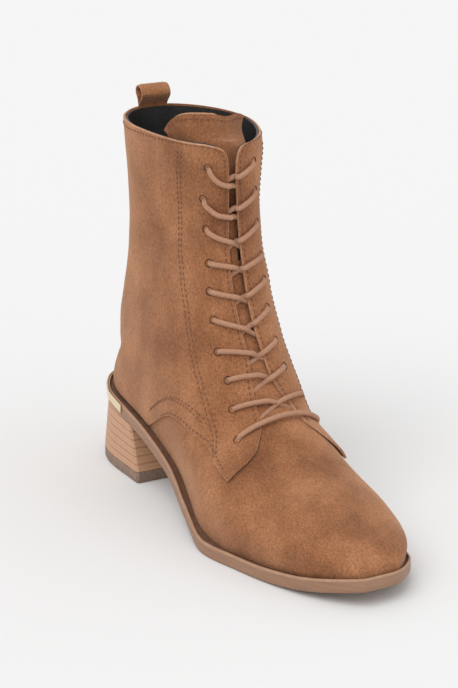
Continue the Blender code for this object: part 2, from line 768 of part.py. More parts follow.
def eyelet_places():
    """Point, outward normal and side of each eyelet, pair by pair from the top."""
    places = []
    for lateral_row, lateral, medial_row, medial in EYELETS:
        pair = []
        for row, distance in ((lateral_row, -lateral), (medial_row, medial)):
            share = share_at([row], distance * EYELET_SPREAD)[None]
            pair.append((last_points([row], share)[0, 0], last_normals([row], share)[0, 0]))
        places.append(pair)
    return places


def make_eyelet_cutter(number, point, normal):
    """Round punch through both layers."""
    reach = 4 * (WALL + QUARTER_STEP)
    work = bmesh.new()
    turned = Vector(normal).to_track_quat("Z", "Y").to_matrix().to_4x4()
    place = Matrix.Translation(Vector(point)) @ turned
    bmesh.ops.create_cone(
        work, cap_ends=True, segments=8, radius1=EYELET_RADIUS, radius2=EYELET_RADIUS, depth=reach, matrix=place
    )
    mesh = bpy.data.meshes.new(f"punch_{number}")
    work.to_mesh(mesh)
    work.free()
    made = bpy.data.objects.new(f"punch_{number}", mesh)
    bpy.context.scene.collection.objects.link(made)
    return made


def zip_line(rows, further=0.0):
    """Middle line of the zip with its normals, and the direction across it; it can go straight on at both ends."""
    shares = read(ZIP[::-1], rows)
    points = last_points(rows, shares)[:, 0]
    normals = last_normals(rows, shares)[:, 0]
    if further:
        first = points[0] + (points[0] - points[1]) * further
        last = points[-1] + (points[-1] - points[-2]) * further
        points = np.vstack([first, points, last])
        normals = np.vstack([normals[:1], normals, normals[-1:]])
    along = np.gradient(points, axis=0)
    across = np.cross(along, normals)
    across /= np.linalg.norm(across, axis=1)[:, None]
    return points, normals, across


def zip_band(name, half_width, outer, inner, trim=0, finish=None):
    """Band of the zip's course between two offsets from the last, trimmed by some rows at both ends."""
    rows = np.linspace(ZIP[-1][0], ZIP[0][0], 34)
    points, normals, across = zip_line(rows, ZIP_END_PLAY)
    points, normals, across = (line[trim:len(line) - trim] for line in (points, normals, across))
    sides = np.array([-half_width, 0.0, half_width])
    grid = points[:, None] + across[:, None] * sides[None, :, None]
    normal = np.repeat(normals[:, None], 3, axis=1)
    size = grid.shape[:2]
    low = shifted(grid, normal, np.full(size, inner))
    return wall_solid(name, shifted(grid, normal, np.full(size, outer)), low, finish=finish)


def make_upper(finish):
    """Vamp, two quarters and back strip joined as one wall, punched for the lace and cut out for the zip."""
    upper = make_vamp(finish)
    combine(upper, [make_quarter(0), make_quarter(1), make_back_strip()], "UNION", "MANIFOLD")
    punches = [
        make_eyelet_cutter(f"{pair}_{side}", *place)
        for pair, places in enumerate(eyelet_places(), 1)
        for side, place in zip(("lateral", "medial"), places)
    ]
    slot_half = ZIP_WIDTH / 2 + 2 * CLEARANCE
    slot = zip_band("zip_slot", slot_half, 2 * WALL, -ZIP_SUNK)
    combine(upper, punches + [slot], "DIFFERENCE", "MANIFOLD")
    keep_outer_body(upper)
    return upper


def keep_outer_body(item):
    """Carry out the joins and cuts, and close the small sealed pockets that two layers leave between them."""
    evaluated = item.evaluated_get(bpy.context.evaluated_depsgraph_get())
    mesh = bpy.data.meshes.new_from_object(evaluated)
    item.modifiers.clear()
    item.data = mesh
    work = bmesh.new()
    work.from_mesh(mesh)
    bodies = []
    left = set(work.verts)
    while left:
        body = {left.pop()}
        edge = list(body)
        while edge:
            near = {link.other_vert(vertex) for vertex in edge for link in vertex.link_edges} - body
            body |= near
            edge = list(near)
        left -= body
        bodies.append(body)
    bodies.sort(key=len)
    for pocket in bodies[:-1]:
        bmesh.ops.delete(work, geom=list(pocket), context="VERTS")
    work.to_mesh(mesh)
    work.free()


# Inside the upper


def make_insole(finish):
    """Flat sheet over the sole, inside the upper's wall all round."""
    stations = stations_between(0.024, 0.975, 34)
    ring = outline(WALL + QUARTER_STEP + 5 * CLEARANCE, stations, feather(stations))

    def at(rise):
        return lambda places: sole_top(places) + CLEARANCE + rise

    return ring_solid("insole", [raised(ring, at(0)), raised(ring, at(INSOLE_THICKNESS))], finish)


def make_tongue(finish):
    """Suede tongue inside the throat. It stands above the collar and leans back there."""
    rows = np.concatenate([[11.6, 12.2], np.arange(13, 27, 1.0), [RIM_ROW]])
    lateral, medial, lean = read(TONGUE, rows).T
    low = share_at(rows, -lateral * THROAT_GAP)
    high = share_at(rows, medial * THROAT_GAP)
    edge = np.linspace(-1, 1, 11)
    shares = low[:, None] + (high - low)[:, None] * (edge + 1) / 2
    points = last_points(rows, shares)
    normals = last_normals(rows, shares)
    depth = np.full(shares.shape, WALL + QUARTER_STEP + 3 * CLEARANCE)
    back = lean[:, None, None] * np.array([TONGUE_LEAN, 0.0, 0.0])
    faces = []
    for sunk in (depth, depth + TONGUE_THICKNESS):
        face = shifted(points, normals, -sunk) - back
        faces.append(np.concatenate([face, [face[-1] + tongue_rise(rise, edge) for rise in TONGUE_TOP]]))
    return wall_solid("tongue", *faces, finish=finish)


def tongue_rise(rise, edge):
    """Shift of the tongue's top above the collar: it leans on, and its corners are round, the lateral one more."""
    corner = np.where(edge < 0, TONGUE_CORNERS[0], TONGUE_CORNERS[1]) * np.abs(edge) ** 5
    up = TONGUE_STAND * rise * (1 - corner)
    return np.stack([-0.25 * rise * TONGUE_STAND * np.ones(len(edge)), 0 * edge, up], 1)


def make_pull_loop(finish):
    """Folded band at the back of the collar, its tail inside the wall."""
    rim = last_points([RIM_ROW], np.array([-1.0]))[0, 0]
    inside = WALL + QUARTER_STEP + LOOP_WIDTH / 4
    rings = []
    for y in (-LOOP_WIDTH / 2, LOOP_WIDTH / 2):
        for shape in (LOOP_OUTER, LOOP_INNER):
            points = [
                (rim[0] + inside + (depth - 0.12) * LOOP_DEPTH, rim[1] + y, rim[2] + height * LOOP_HEIGHT)
                for depth, height in shape
            ]
            rings.append(np.array(points))
    near_outer, near_inner, far_outer, far_inner = rings
    across = np.stack([near_outer, far_outer, far_inner, near_inner], axis=1)
    return hoop_solid("pull_loop", across, finish)


def hoop_solid(name, rings, finish):
    """Closed band: rings[i] is its outline at one place, and the last joins the first."""
    length, sides = rings.shape[:2]
    faces = []
    for i in range(length):
        following = (i + 1) % length
        for j in range(sides):
            k = (j + 1) % sides
            faces.append((i * sides + j, i * sides + k, following * sides + k, following * sides + j))
    made = add_object(name, rings.reshape(-1, 3), faces, finish)
    face_outwards(made)
    return made


# Lace


def lacing_ground():
    """Points and normals of the last over the lacing, close together."""
    rows = np.linspace(9.5, 25.5, 97)
    shares = np.linspace(-0.4, 0.5, 61)
    return last_points(rows, shares).reshape(-1, 3), last_normals(rows, shares).reshape(-1, 3)


def make_lace(number, pair, ground, finish):
    """One lace course: from the lateral eyelet down over the gap and up to the medial eyelet."""
    lateral, medial = pair[0][0], pair[1][0]
    share = np.linspace(0, 1, 11)
    sag = 0.0 if number == len(EYELETS) else LACE_SAG
    path = lateral + share[:, None] * (medial - lateral)
    path[:, 2] -= sag * (1 - (2 * share - 1) ** 2)
    clear = LACE_DIAMETER / 2 + 3 * CLEARANCE
    path = np.array([push_out(point, ground, clear) for point in path])
    return round_tube(f"lace_{number}", path, LACE_DIAMETER / 2, finish)


def push_out(point, ground, clear):
    """Nearest place over the last's surface, a clearance outside it."""
    points, normals = ground
    nearest = np.linalg.norm(points - point, axis=1).argmin()
    height = (point - points[nearest]) @ normals[nearest]
    return point + normals[nearest] * max(clear - height, 0)


def round_tube(name, path, radius, finish, sides=6):
    along = np.gradient(path, axis=0)
    along /= np.linalg.norm(along, axis=1)[:, None]
    side = np.cross(along, [0.0, 0.0, 1.0])
    side /= np.linalg.norm(side, axis=1)[:, None]
    over = np.cross(side, along)
    angles = np.arange(sides) * 2 * math.pi / sides
    ring = [side * math.cos(angle) + over * math.sin(angle) for angle in angles]
    rings = path[:, None] + radius * np.stack(ring, axis=1)
    return tube_solid(name, rings, finish)


# Zip


def slider_frame():
    """Place of the slider: a point on the last, the zip's upward direction, outward normal and across."""
    rows = np.array([25.9, 26.0, 26.1])
    points, normals, across = zip_line(rows)
    normal = Vector(normals[1])
    up = Vector(points[2] - points[0]).normalized()
    side = up.cross(normal).normalized()
    level = Vector((side.x, side.y, 0)).normalized()
    up = normal.cross(level).normalized()
    return Vector(points[1]), up, normal, level


def block(name, frame, low, high, finish=None):
    """Cuboid between two corners given across, up and out of a frame."""
    origin, up, normal, side = frame
    corners = []
    for z in (low[2], high[2]):
        for x, y in ((low[0], low[1]), (high[0], low[1]), (high[0], high[1]), (low[0], high[1])):
            corners.append(origin + side * x + up * y + normal * z)
    faces = [(0, 3, 2, 1), (4, 5, 6, 7), (0, 1, 5, 4), (1, 2, 6, 5), (2, 3, 7, 6), (3, 0, 4, 7)]
    made = add_object(name, corners, faces, finish, 30)
    face_outwards(made)
    return made


def make_slider(finish):
    """Zip slider with the bridge that holds its pull."""
    frame = slider_frame()
    base = ZIP_PROUD + CLEARANCE
    top = base + SLIDER_THICKNESS
    reach = top + BRIDGE_HEIGHT
    half_width, half_length = SLIDER_WIDTH / 2, SLIDER_LENGTH / 2
    bar, arm = BRIDGE_WIDTH / 2, BRIDGE_LENGTH / 2
    slider = block("zip_slider", frame, (-half_width, -half_length, base), (half_width, half_length, top), finish)
    bridge = block("bridge", frame, (-bar, -arm, top - SLIDER_THICKNESS / 2), (bar, arm, reach))
    window = block(
        "bridge_window", frame, (-2 * bar, -arm + 2 * bar, top + CLEARANCE / 3), (2 * bar, arm - bar, reach - bar)
    )
    combine(bridge, [window], "DIFFERENCE")
    combine(slider, [bridge], "UNION")
    return slider


def pull_axis():
    """Point on the pull's hinge and its direction."""
    origin, up, normal, side = slider_frame()
    out = ZIP_PROUD + SLIDER_THICKNESS + 2 * CLEARANCE + PULL_THICKNESS / 2
    return origin + normal * out + up * (BRIDGE_LENGTH / 2 - BRIDGE_WIDTH * 1.6), side


def make_pull(finish):
    """Pull tab with a slot round the bridge. It hangs straight down."""
    centre, side = pull_axis()
    down = Vector((0, 0, -1))
    out = down.cross(side).normalized()
    _, _, normal, _ = slider_frame()
    if out.dot(normal) < 0:
        out = -out
    frame = (centre, -down, out, side)
    half = PULL_THICKNESS / 2
    width = PULL_WIDTH / 2
    pull = block("zip_pull", frame, (-width, half - PULL_LENGTH, -half), (width, half, half), finish)
    slot = block(
        "pull_slot", frame,
        (-BRIDGE_WIDTH / 2 - 2 * CLEARANCE, -BRIDGE_LENGTH, -2 * half),
        (BRIDGE_WIDTH / 2 + 2 * CLEARANCE, -half, 2 * half),
    )
    combine(pull, [slot], "DIFFERENCE")
    return pull


def build():
    clear_scene()
    suede = material("suede", (0.40, 0.171, 0.080), 0.95)
    edge = material("sole_edge", (0.36, 0.235, 0.165), 0.6)
    wood = material("stacked_wood", (0.50, 0.28, 0.16), 0.55)
    rubber = material("heel_rubber", (0.25, 0.16, 0.11), 0.75)
    gold = material("pale_gold", (0.87, 0.72, 0.48), 0.22, 1.0)
    lining = material("black_leather", (0.012, 0.011, 0.011), 0.45)
    cord = material("lace_cord", (0.53, 0.30, 0.19), 0.85)
    coil = material("zip_tape", (0.22, 0.053, 0.018), 0.6)
    brass = material("antique_brass", (0.33, 0.24, 0.12), 0.35, 1.0)
    make_outsole(edge)
    make_upper(suede)
    make_tongue(suede)
    make_insole(lining)
    make_heel_block(wood)
    make_heel_top_lift(rubber)
    make_heel_strip(gold)
    make_pull_loop(suede)
    ground = lacing_ground()
    for number, pair in enumerate(eyelet_places(), 1):
        make_lace(number, pair, ground, cord)
    zip_half = ZIP_WIDTH / 2
    zip_band("zip_coil", zip_half, ZIP_PROUD, 2 * CLEARANCE - ZIP_SUNK, trim=1, finish=coil)
    make_slider(brass)
    make_pull(brass)


build()
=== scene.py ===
"""Looks of the block heel boot: suede upper, lace and zip, stacked heel, gold strip, floor, light and camera.

Lengths are in metres. The boot stands on z = 0 with its toe towards +x and its medial side towards +y.
"""

import math

import bmesh
import bpy
import numpy as np
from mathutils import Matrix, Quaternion, Vector, noise


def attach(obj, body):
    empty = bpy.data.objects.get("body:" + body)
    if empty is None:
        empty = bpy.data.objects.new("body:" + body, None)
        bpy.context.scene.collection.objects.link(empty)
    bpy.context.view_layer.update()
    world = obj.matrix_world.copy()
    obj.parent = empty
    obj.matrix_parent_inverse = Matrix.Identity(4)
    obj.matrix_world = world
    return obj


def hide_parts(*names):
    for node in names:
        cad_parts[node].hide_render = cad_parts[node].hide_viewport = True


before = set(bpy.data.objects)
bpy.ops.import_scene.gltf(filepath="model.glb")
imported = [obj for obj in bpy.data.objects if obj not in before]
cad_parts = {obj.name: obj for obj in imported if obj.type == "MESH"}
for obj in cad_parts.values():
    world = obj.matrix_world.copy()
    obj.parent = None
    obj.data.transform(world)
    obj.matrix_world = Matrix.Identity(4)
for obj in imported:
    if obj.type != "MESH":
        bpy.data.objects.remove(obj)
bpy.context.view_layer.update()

# Fit between pieces
CLEARANCE = 0.0003

# Sole
SOLE_LENGTH = 0.262
BALL_WIDTH = 0.086
SEAT_HEIGHT = 0.0383
TOE_SPRING = 0.0091
SOLE_THICKNESS = 0.0077
RIM_HEIGHT = 0.0012
RIM_WIDTH = 0.0014
LEDGE = 0.004

# Heel
HEEL_LENGTH = 0.0657
HEEL_WIDTH = 0.0626
HEEL_INSET = 0.0005
BREAST_SLANT = 0.0075
HEEL_ROUND = 0.64  # share of the heel's length over which its back is rounded
HEEL_POWER = 2.37  # roundness of the heel's back in plan
HEEL_FLAT = 0.35  # width of the flat at the very back, as a share of the next width
BREAST_CORNER = 0.0012
LIFT_HEIGHT = 0.007
STRIP_HEIGHT = 0.0052
STRIP_THICKNESS = 0.0006
STRIP_REACH = 0.0486

# Upper
VAMP_RISE = 0.0625
COLLAR_HEIGHT = 0.207
SHAFT_WIDTH = 0.067
WALL = 0.0014
QUARTER_STEP = 0.0012
BACK_STRIP_WIDTH = 0.015
BACK_STRIP_STEP = 0.0008
BACK_STITCH_TO_EDGE = 0.0017
THROAT_GAP = 0.009
THROAT_LAP = 0.002
FOOT_UNDER_ROUND = 1.3  # exponent of the foot sections' curve below their widest place
# Easing of the bend where the sections close round the heel: rows it mixes, rows and share it reaches, amount
SEAM_EASE, SEAM_REACH, SEAM_SHARE, SEAM_AMOUNT = 0.75, 0.9, 0.12, 0.8
FLAP_LIFT = 0.0013  # how far the loose front corners of the quarters stand off
DENT_DEPTH = 0.00055
DENTS = [(26, 0.5), (60, 0.22)]  # noise scale and share of the depth
CREASE_DEPTH = 0.0005
CREASES = (22, 22, 85)  # noise scale along x, y and z
ANKLE_ROW, ANKLE_ROWS = 14.5, 4.0  # middle of the ankle's creases, and how far they reach
EDGE_BEVEL = 0.0004

# Tongue and pull loop
TONGUE_THICKNESS = 0.0016
TONGUE_STAND = 0.0115
TONGUE_LEAN = 0.016
TONGUE_CORNERS = (0.95, 0.35)  # how far the lateral and medial corner drop, of TONGUE_STAND
TONGUE_LEVELS = (0.15, 0.35, 0.55, 0.70, 0.83, 0.93, 1.0)  # above the collar, of TONGUE_STAND
TONGUE_FROM = 11.2  # row where it begins
TONGUE_COLUMNS = 30
LOOP_WIDTH = 0.018
LOOP_HEIGHT = 0.0125
LOOP_DEPTH = 0.0095

# Lace
EYELET_SPREAD = 0.017
EYELET_RADIUS = 0.0021
LACE_RADIUS = 0.00145

# Zip
ZIP_WIDTH = 0.0068
ZIP_PROUD = 0.0004
SLIDER_LENGTH = 0.013
SLIDER_WIDTH = 0.0094
SLIDER_THICKNESS = 0.0016
BRIDGE_WIDTH = 0.0016
BRIDGE_LENGTH = 0.0094
BRIDGE_HEIGHT = 0.0029
PULL_LENGTH = 0.0255
PULL_WIDTH = 0.0080
PULL_THICKNESS = 0.0013

# Camera and light
PICTURE_HEIGHT = 688
FOCAL_PIXELS = 2064.83
SENSOR_HEIGHT = 24.0  # mm
CAMERA_PLACE = (0.9960, -0.5362, 0.4583)
CAMERA_VIEW = (-0.8162, 0.4779, -0.3248)
CAMERA_ROLL = 0.9304  # degrees
LIGHT_TARGET = (0.05, 0, 0.1)
LIGHTS = [
    # name, place, how wide it looks in degrees, power
    ("key", (0.5, -1.2, 1.9), 45, 1.25),
    ("fill", (1.6, 0.6, 1.0), 60, 0.35),
]
WORLD_STRENGTH = 0.80
FLOOR_REACH = 40.0
FLOOR_TONE = (0.78, 0.78, 0.78, 1)

SOLE_BACK = -HEEL_LENGTH / 2 - HEEL_INSET

# Sole outline: station from heel to toe (of SOLE_LENGTH), half widths (of BALL_WIDTH)
SOLE = [
    # station, lateral, medial
    (0.00, 0.041, 0.030),
    (0.04, 0.241, 0.226),
    (0.12, 0.350, 0.336),
    (0.25, 0.384, 0.345),
    (0.40, 0.395, 0.312),
    (0.52, 0.465, 0.362),
    (0.63, 0.528, 0.453),
    (0.74, 0.458, 0.540),
    (0.84, 0.371, 0.503),
    (0.92, 0.264, 0.414),
    (0.97, 0.164, 0.285),
    (1.00, 0.040, 0.105),
]

# Underside from the heel seat (of SEAT_HEIGHT) through the flat tread to the toe (of TOE_SPRING)
UNDERSIDE = [
    # station, of SEAT_HEIGHT, of TOE_SPRING
    (0.00, 1.000, 0.00),
    (0.12, 0.950, 0.00),
    (0.25, 0.849, 0.00),
    (0.34, 0.687, 0.00),
    (0.45, 0.399, 0.00),
    (0.55, 0.149, 0.00),
    (0.64, 0.000, 0.00),
    (0.75, 0.000, 0.00),
    (0.87, 0.000, 0.23),
    (1.00, 0.000, 1.00),
]

# Sections of the last over the foot. Feather and crest are stations, rise is the crest's height over the
# sole, side is its place across, bulge is how far each side stands over the feather line, widest is the share
# of the section's height where it does, and round is the exponent of the curve over the top.
FOOT = [
    # feather, crest, rise (VAMP_RISE), side, bulge lat, bulge med (BALL_WIDTH), widest, round lat, round med
    (0.985, 0.985, 0.006, 0.045, 0.000, 0.000, 0.50, 2.20, 2.20),
    (0.984, 0.984, 0.032, 0.045, 0.004, 0.004, 0.50, 2.20, 2.20),
    (0.981, 0.981, 0.080, 0.055, 0.006, 0.006, 0.50, 2.20, 2.20),
    (0.971, 0.970, 0.144, 0.065, 0.008, 0.008, 0.45, 2.25, 2.25),
    (0.952, 0.950, 0.224, 0.070, 0.012, 0.012, 0.42, 2.20, 2.25),
    (0.921, 0.921, 0.304, 0.070, 0.018, 0.018, 0.40, 2.10, 2.20),
    (0.879, 0.879, 0.400, 0.068, 0.025, 0.020, 0.38, 2.00, 2.15),
    (0.822, 0.822, 0.512, 0.060, 0.030, 0.020, 0.36, 1.90, 2.10),
    (0.753, 0.757, 0.616, 0.052, 0.030, 0.025, 0.34, 1.85, 2.10),
    (0.677, 0.692, 0.755, 0.050, 0.025, 0.050, 0.33, 1.80, 2.15),
    (0.593, 0.631, 0.912, 0.042, 0.020, 0.110, 0.33, 1.75, 2.20),
    (0.505, 0.582, 1.000, 0.033, 0.030, 0.150, 0.34, 1.75, 2.20),
]

# Sections up the shaft. They start on the feather line (spread 1, height 0), close round the heel (spread 0)
# and then end on the back seam. Heights are of COLLAR_HEIGHT, sides and widths of SHAFT_WIDTH.
SHAFT = [
    # back, spread, height, crest, its height, crest side, back side, lateral, medial, widest,
    # and the rounds: lateral, medial, under
    (0.4100, 1, 0.000, 0.543, 0.445, 0.022, 0.000, 0.530, 0.560, 0.35, 1.80, 2.25, 1.30),
    (0.3140, 1, 0.000, 0.514, 0.510, 0.010, 0.000, 0.512, 0.553, 0.36, 1.85, 2.30, 1.30),
    (0.2190, 1, 0.000, 0.492, 0.576, -0.003, 0.000, 0.490, 0.550, 0.38, 1.90, 2.35, 1.35),
    (0.1270, 1, 0.000, 0.479, 0.643, -0.018, 0.000, 0.465, 0.545, 0.40, 1.90, 2.40, 1.40),
    (0.0590, 1, 0.000, 0.471, 0.704, -0.028, 0.000, 0.440, 0.535, 0.42, 1.90, 2.40, 1.45),
    (0.0160, 1, 0.000, 0.465, 0.756, -0.036, 0.000, 0.415, 0.520, 0.43, 1.90, 2.40, 1.50),
    (0.0155, 0, 0.000, 0.464, 0.780, -0.039, 0.000, 0.402, 0.510, 0.43, 1.90, 2.40, 1.60),
    (0.0085, 0, 0.290, 0.463, 0.803, -0.042, 0.003, 0.390, 0.500, 0.44, 1.90, 2.40, 1.80),
    (0.0115, 0, 0.358, 0.463, 0.845, -0.048, 0.008, 0.367, 0.480, 0.45, 1.90, 2.40, 2.00),
    (0.0225, 0, 0.435, 0.463, 0.884, -0.054, 0.014, 0.358, 0.468, 0.45, 1.92, 2.38, 2.00),
    (0.0430, 0, 0.517, 0.464, 0.918, -0.059, 0.020, 0.370, 0.465, 0.45, 2.00, 2.35, 2.00),
    (0.0640, 0, 0.604, 0.465, 0.947, -0.063, 0.026, 0.393, 0.468, 0.45, 2.10, 2.30, 2.00),
    (0.0770, 0, 0.700, 0.467, 0.969, -0.066, 0.031, 0.418, 0.478, 0.45, 2.20, 2.20, 2.00),
    (0.0755, 0, 0.812, 0.469, 0.985, -0.069, 0.036, 0.437, 0.497, 0.45, 2.20, 2.10, 2.00),
    (0.0660, 0, 0.918, 0.471, 0.995, -0.072, 0.041, 0.450, 0.520, 0.45, 2.25, 1.95, 2.00),
    (0.0610, 0, 1.000, 0.472, 1.000, -0.074, 0.048, 0.463, 0.545, 0.45, 2.30, 1.75, 2.00),
]

# Rows are numbers of the sections above, from the toe, and parts of one lie between two sections.
SEAM_ROW = len(FOOT) + 6
RIM_ROW = len(FOOT) + len(SHAFT) - 1
THROAT_ROW = 11.0
QUARTER_ROW = 9.4
VAMP_END_ROW = 13.71
LINING_ROW = 10.9
COLLAR_ROW = 26.9

# Front edges of the two quarters: distance from the crest along each row, of THROAT_GAP
FACING = [
    # row, lateral, medial
    (9.4, 3.20, 3.70),
    (9.5, 2.50, 3.10),
    (9.8, 1.85, 2.30),
    (10.1, 1.38, 1.70),
    (10.9, 0.92, 1.42),
    (11.7, 0.66, 0.56),
    (12.3, 0.47, 0.46),
    (15.0, 0.44, 0.40),
    (18.0, 0.33, 0.33),
    (22.5, 0.22, 0.26),
    (24.0, 0.34, 0.33),
    (25.2, 0.62, 0.50),
    (26.3, 1.15, 0.78),
    (27.0, 1.75, 1.15),
]

# Lower edge of each quarter, as a share of the way from the crest to the feather line
QUARTER_HEM = [
    # row, share
    (9.4, 0.54),
    (10.9, 0.52),
    (11.3, 0.55),
    (11.7, 0.60),
    (12.1, 0.63),
    (12.6, 0.70),
    (12.9, 0.80),
    (13.1, 0.90),
    (13.3, 0.985),
]

# Eyelet pairs, top pair first: row and distance from the crest (of EYELET_SPREAD) on each side
EYELETS = [
    # lateral row, lateral, medial row, medial
    (23.5, 0.84, 23.4, 0.90),
    (21.3, 1.14, 21.0, 1.04),
    (19.3, 1.04, 18.9, 1.08),
    (16.3, 0.98, 16.2, 1.20),
    (15.1, 1.05, 15.1, 1.12),
    (14.0, 1.06, 14.0, 1.00),
    (12.9, 1.16, 12.8, 0.98),
    (11.9, 1.12, 11.9, 1.02),
    (11.25, 1.22, 11.4, 1.66),
    (10.25, 1.54, 10.5, 1.80),
]

# How early the lateral and the medial strand drop, pair by pair from the top
LACE_DROOP = [
    (4.0, 2.4), (3.4, 2.4), (2.2, 1.9), (1.6, 1.6), (1.7, 1.7),
    (1.7, 1.8), (1.3, 1.8), (1.2, 1.6), (1.0, 1.2),
]

# Middle of the zip on the medial side: row and share of the way from the crest to the base
ZIP = [
    # row, share
    (26.8, 0.575),
    (25.5, 0.575),
    (24.1, 0.575),
    (22.2, 0.525),
    (20.1, 0.450),
    (18.0, 0.425),
    (15.9, 0.475),
    (14.8, 0.550),
    (13.9, 0.650),
]

# Tongue: half widths along each row on both sides (of THROAT_GAP), and how far it leans back (of TONGUE_LEAN)
TONGUE = [
    # row, lateral, medial, lean
    (11.6, 1.9, 2.2, 0.00),
    (13.0, 2.4, 2.5, 0.00),
    (17.0, 2.8, 2.7, 0.03),
    (22.0, 3.1, 2.8, 0.25),
    (25.0, 3.5, 2.8, 0.60),
    (27.0, 3.9, 3.0, 0.90),
]

# Pull loop seen from the side: outer and inner outline (depth of LOOP_DEPTH, height of LOOP_HEIGHT), from the
# foot of its tail round the back, over the top and down the front
LOOP_OUTER = [
    (0.12, -0.80), (0.06, -0.06), (-0.28, 0.18), (-0.66, 0.45), (-0.78, 0.68), (-0.70, 0.88),
    (-0.42, 1.00), (-0.10, 0.92), (0.12, 0.72), (0.22, 0.40), (0.26, 0.05), (0.27, -0.80),
]
LOOP_INNER = [
    (0.12, -0.02), (0.08, 0.06), (-0.16, 0.24), (-0.48, 0.50), (-0.62, 0.69), (-0.56, 0.81),
    (-0.40, 0.88), (-0.18, 0.82), (-0.02, 0.66), (0.07, 0.38), (0.11, 0.05), (0.13, -0.02),
]


def smooth(knots, values, at):
    """Monotone cubic curve through rows of values at the knots, read at other places."""
    knots = np.asarray(knots, float)
    values = np.asarray(values, float)
    shape = values.shape[1:]
    values = values.reshape(len(knots), -1)
    step = np.diff(knots)[:, None]
    slope = np.diff(values, axis=0) / step
    before, after = slope[:-1], slope[1:]
    near, far = 2 * step[1:] + step[:-1], step[1:] + 2 * step[:-1]
    turning = before * after <= 0
    mean = near / np.where(turning, 1, before) + far / np.where(turning, 1, after)
    inner = np.where(turning, 0, (near + far) / np.where(turning, 1, mean))
    tangent = np.vstack([slope[:1], inner, slope[-1:]])
    at = np.clip(np.atleast_1d(np.asarray(at, float)), knots[0], knots[-1])
    left = np.clip(np.searchsorted(knots, at, side="right") - 1, 0, len(knots) - 2)
    width = step[left]
    t = (at - knots[left])[:, None] / width
    start, end = values[left], values[left + 1]
    result = (
        (2 * t**3 - 3 * t**2 + 1) * start
        + (t**3 - 2 * t**2 + t) * width * tangent[left]
        + (3 * t**2 - 2 * t**3) * end
        + (t**3 - t**2) * width * tangent[left + 1]
    )
    return result.reshape(-1, *shape)


def column(table, number):
    return [row[number] for row in table]


def read(table, at):
    """All columns of a table at other values of its first column."""
    return smooth(column(table, 0), [row[1:] for row in table], at)


def ease(t):
    """Smooth step from 0 to 1."""
    t = np.clip(t, 0, 1)
    return t * t * (3 - 2 * t)


def unit(vectors):
    return vectors / np.linalg.norm(vectors, axis=-1, keepdims=True)


def run_along(line):
    """Length along a line up to each of its points."""
    return np.append(0, np.cumsum(np.linalg.norm(np.diff(line, axis=0), axis=1)))


def read_line(at, run, line):
    """Points of a line at lengths along it."""
    return np.stack([np.interp(at, run, line[:, axis]) for axis in range(3)], axis=-1)


# Sole surfaces


def station_x(station):
    return SOLE_BACK + np.asarray(station) * SOLE_LENGTH


def turn(station):
    """Angle that spreads stations evenly round the blunt ends of the sole."""
    return np.arccos(np.clip(1 - 2 * np.asarray(station, float), -1, 1))


def half_widths(station):
    """Lateral and medial half width of the sole."""
    shares = smooth(turn(column(SOLE, 0)), [row[1:] for row in SOLE], turn(station))
    return shares * BALL_WIDTH


def feather(station):
    """Half widths of the upper where it meets the sole."""
    width = half_widths(station)
    return width - LEDGE * np.minimum(1, width / (3 * LEDGE))


def underside(x):
    station = (np.asarray(x, float) - SOLE_BACK) / SOLE_LENGTH
    seat, toe = read(UNDERSIDE, station).T
    return seat * SEAT_HEIGHT + toe * TOE_SPRING


def sole_top(x):
    return underside(x) + SOLE_THICKNESS - RIM_HEIGHT


def seat_heights(x):
    """Height at which the upper's lower edge stands on the sole."""
    return sole_top(x) + 2 * CLEARANCE


def seat_height(x):
    return float(seat_heights(x)[0])


def outline(inset, stations, widths=None):
    """Ring of points in plan: lateral side from heel to toe, then back along the medial side."""
    if widths is None:
        widths = half_widths(stations)
    x = station_x(stations)
    ring = np.vstack([np.stack([x, -widths[:, 0]], 1), np.stack([x, widths[:, 1]], 1)[::-1]])
    along = unit(np.roll(ring, -1, axis=0) - np.roll(ring, 1, axis=0))
    return ring + inset * np.stack([-along[:, 1], along[:, 0]], 1)


def stations_between(first, last, count):
    """Stations close together near the two blunt ends."""
    angles = np.linspace(turn(first), turn(last), count)
    return (1 - np.cos(angles)) / 2


def section(base, crest, base_y, crest_y, spread, widths, widest, rounds, under_round, per_side):
    """Points of one section from the lateral base over the crest to the medial base, evenly spaced."""
    angles = np.linspace(0, math.pi / 2, 24)
    sine, cosine = np.sin(angles), np.cos(angles)
    halves = []
    for side in (0, 1):
        sign = 2 * side - 1
        width = widths[side]
        over = widest + (1 - widest) * cosine ** (2 / rounds[side])
        over_y = sign * crest_y + (width - sign * crest_y) * sine ** (2 / rounds[side])
        under = widest - widest * sine[1:] ** (2 / under_round)
        start = sign * base_y + spread[side]
        under_y = start + (width - start) * cosine[1:] ** (2 / under_round)
        up = np.concatenate([over, under])
        line = np.asarray(base) + up[:, None] * (np.asarray(crest) - base)
        line = np.column_stack([line[:, 0], sign * np.concatenate([over_y, under_y]), line[:, 1]])
        run = run_along(line)
        halves.append(read_line(np.linspace(0, run[-1], per_side + 1), run, line))
    return np.vstack([halves[0][::-1], halves[1][1:]])


def foot_section(row, per_side):
    back, front, rise, side, lateral, medial, widest, round_lateral, round_medial = row
    base_x, crest_x = station_x(back), station_x(front)
    base = (base_x, seat_height(base_x))
    crest = (crest_x, seat_height(crest_x) + rise * VAMP_RISE)
    spread = feather(back)[0]
    widths = spread + np.array([lateral, medial]) * BALL_WIDTH
    rounds = (round_lateral, round_medial)
    sides = (0.0, side * BALL_WIDTH)
    return section(base, crest, *sides, spread, widths, widest, rounds, FOOT_UNDER_ROUND, per_side)


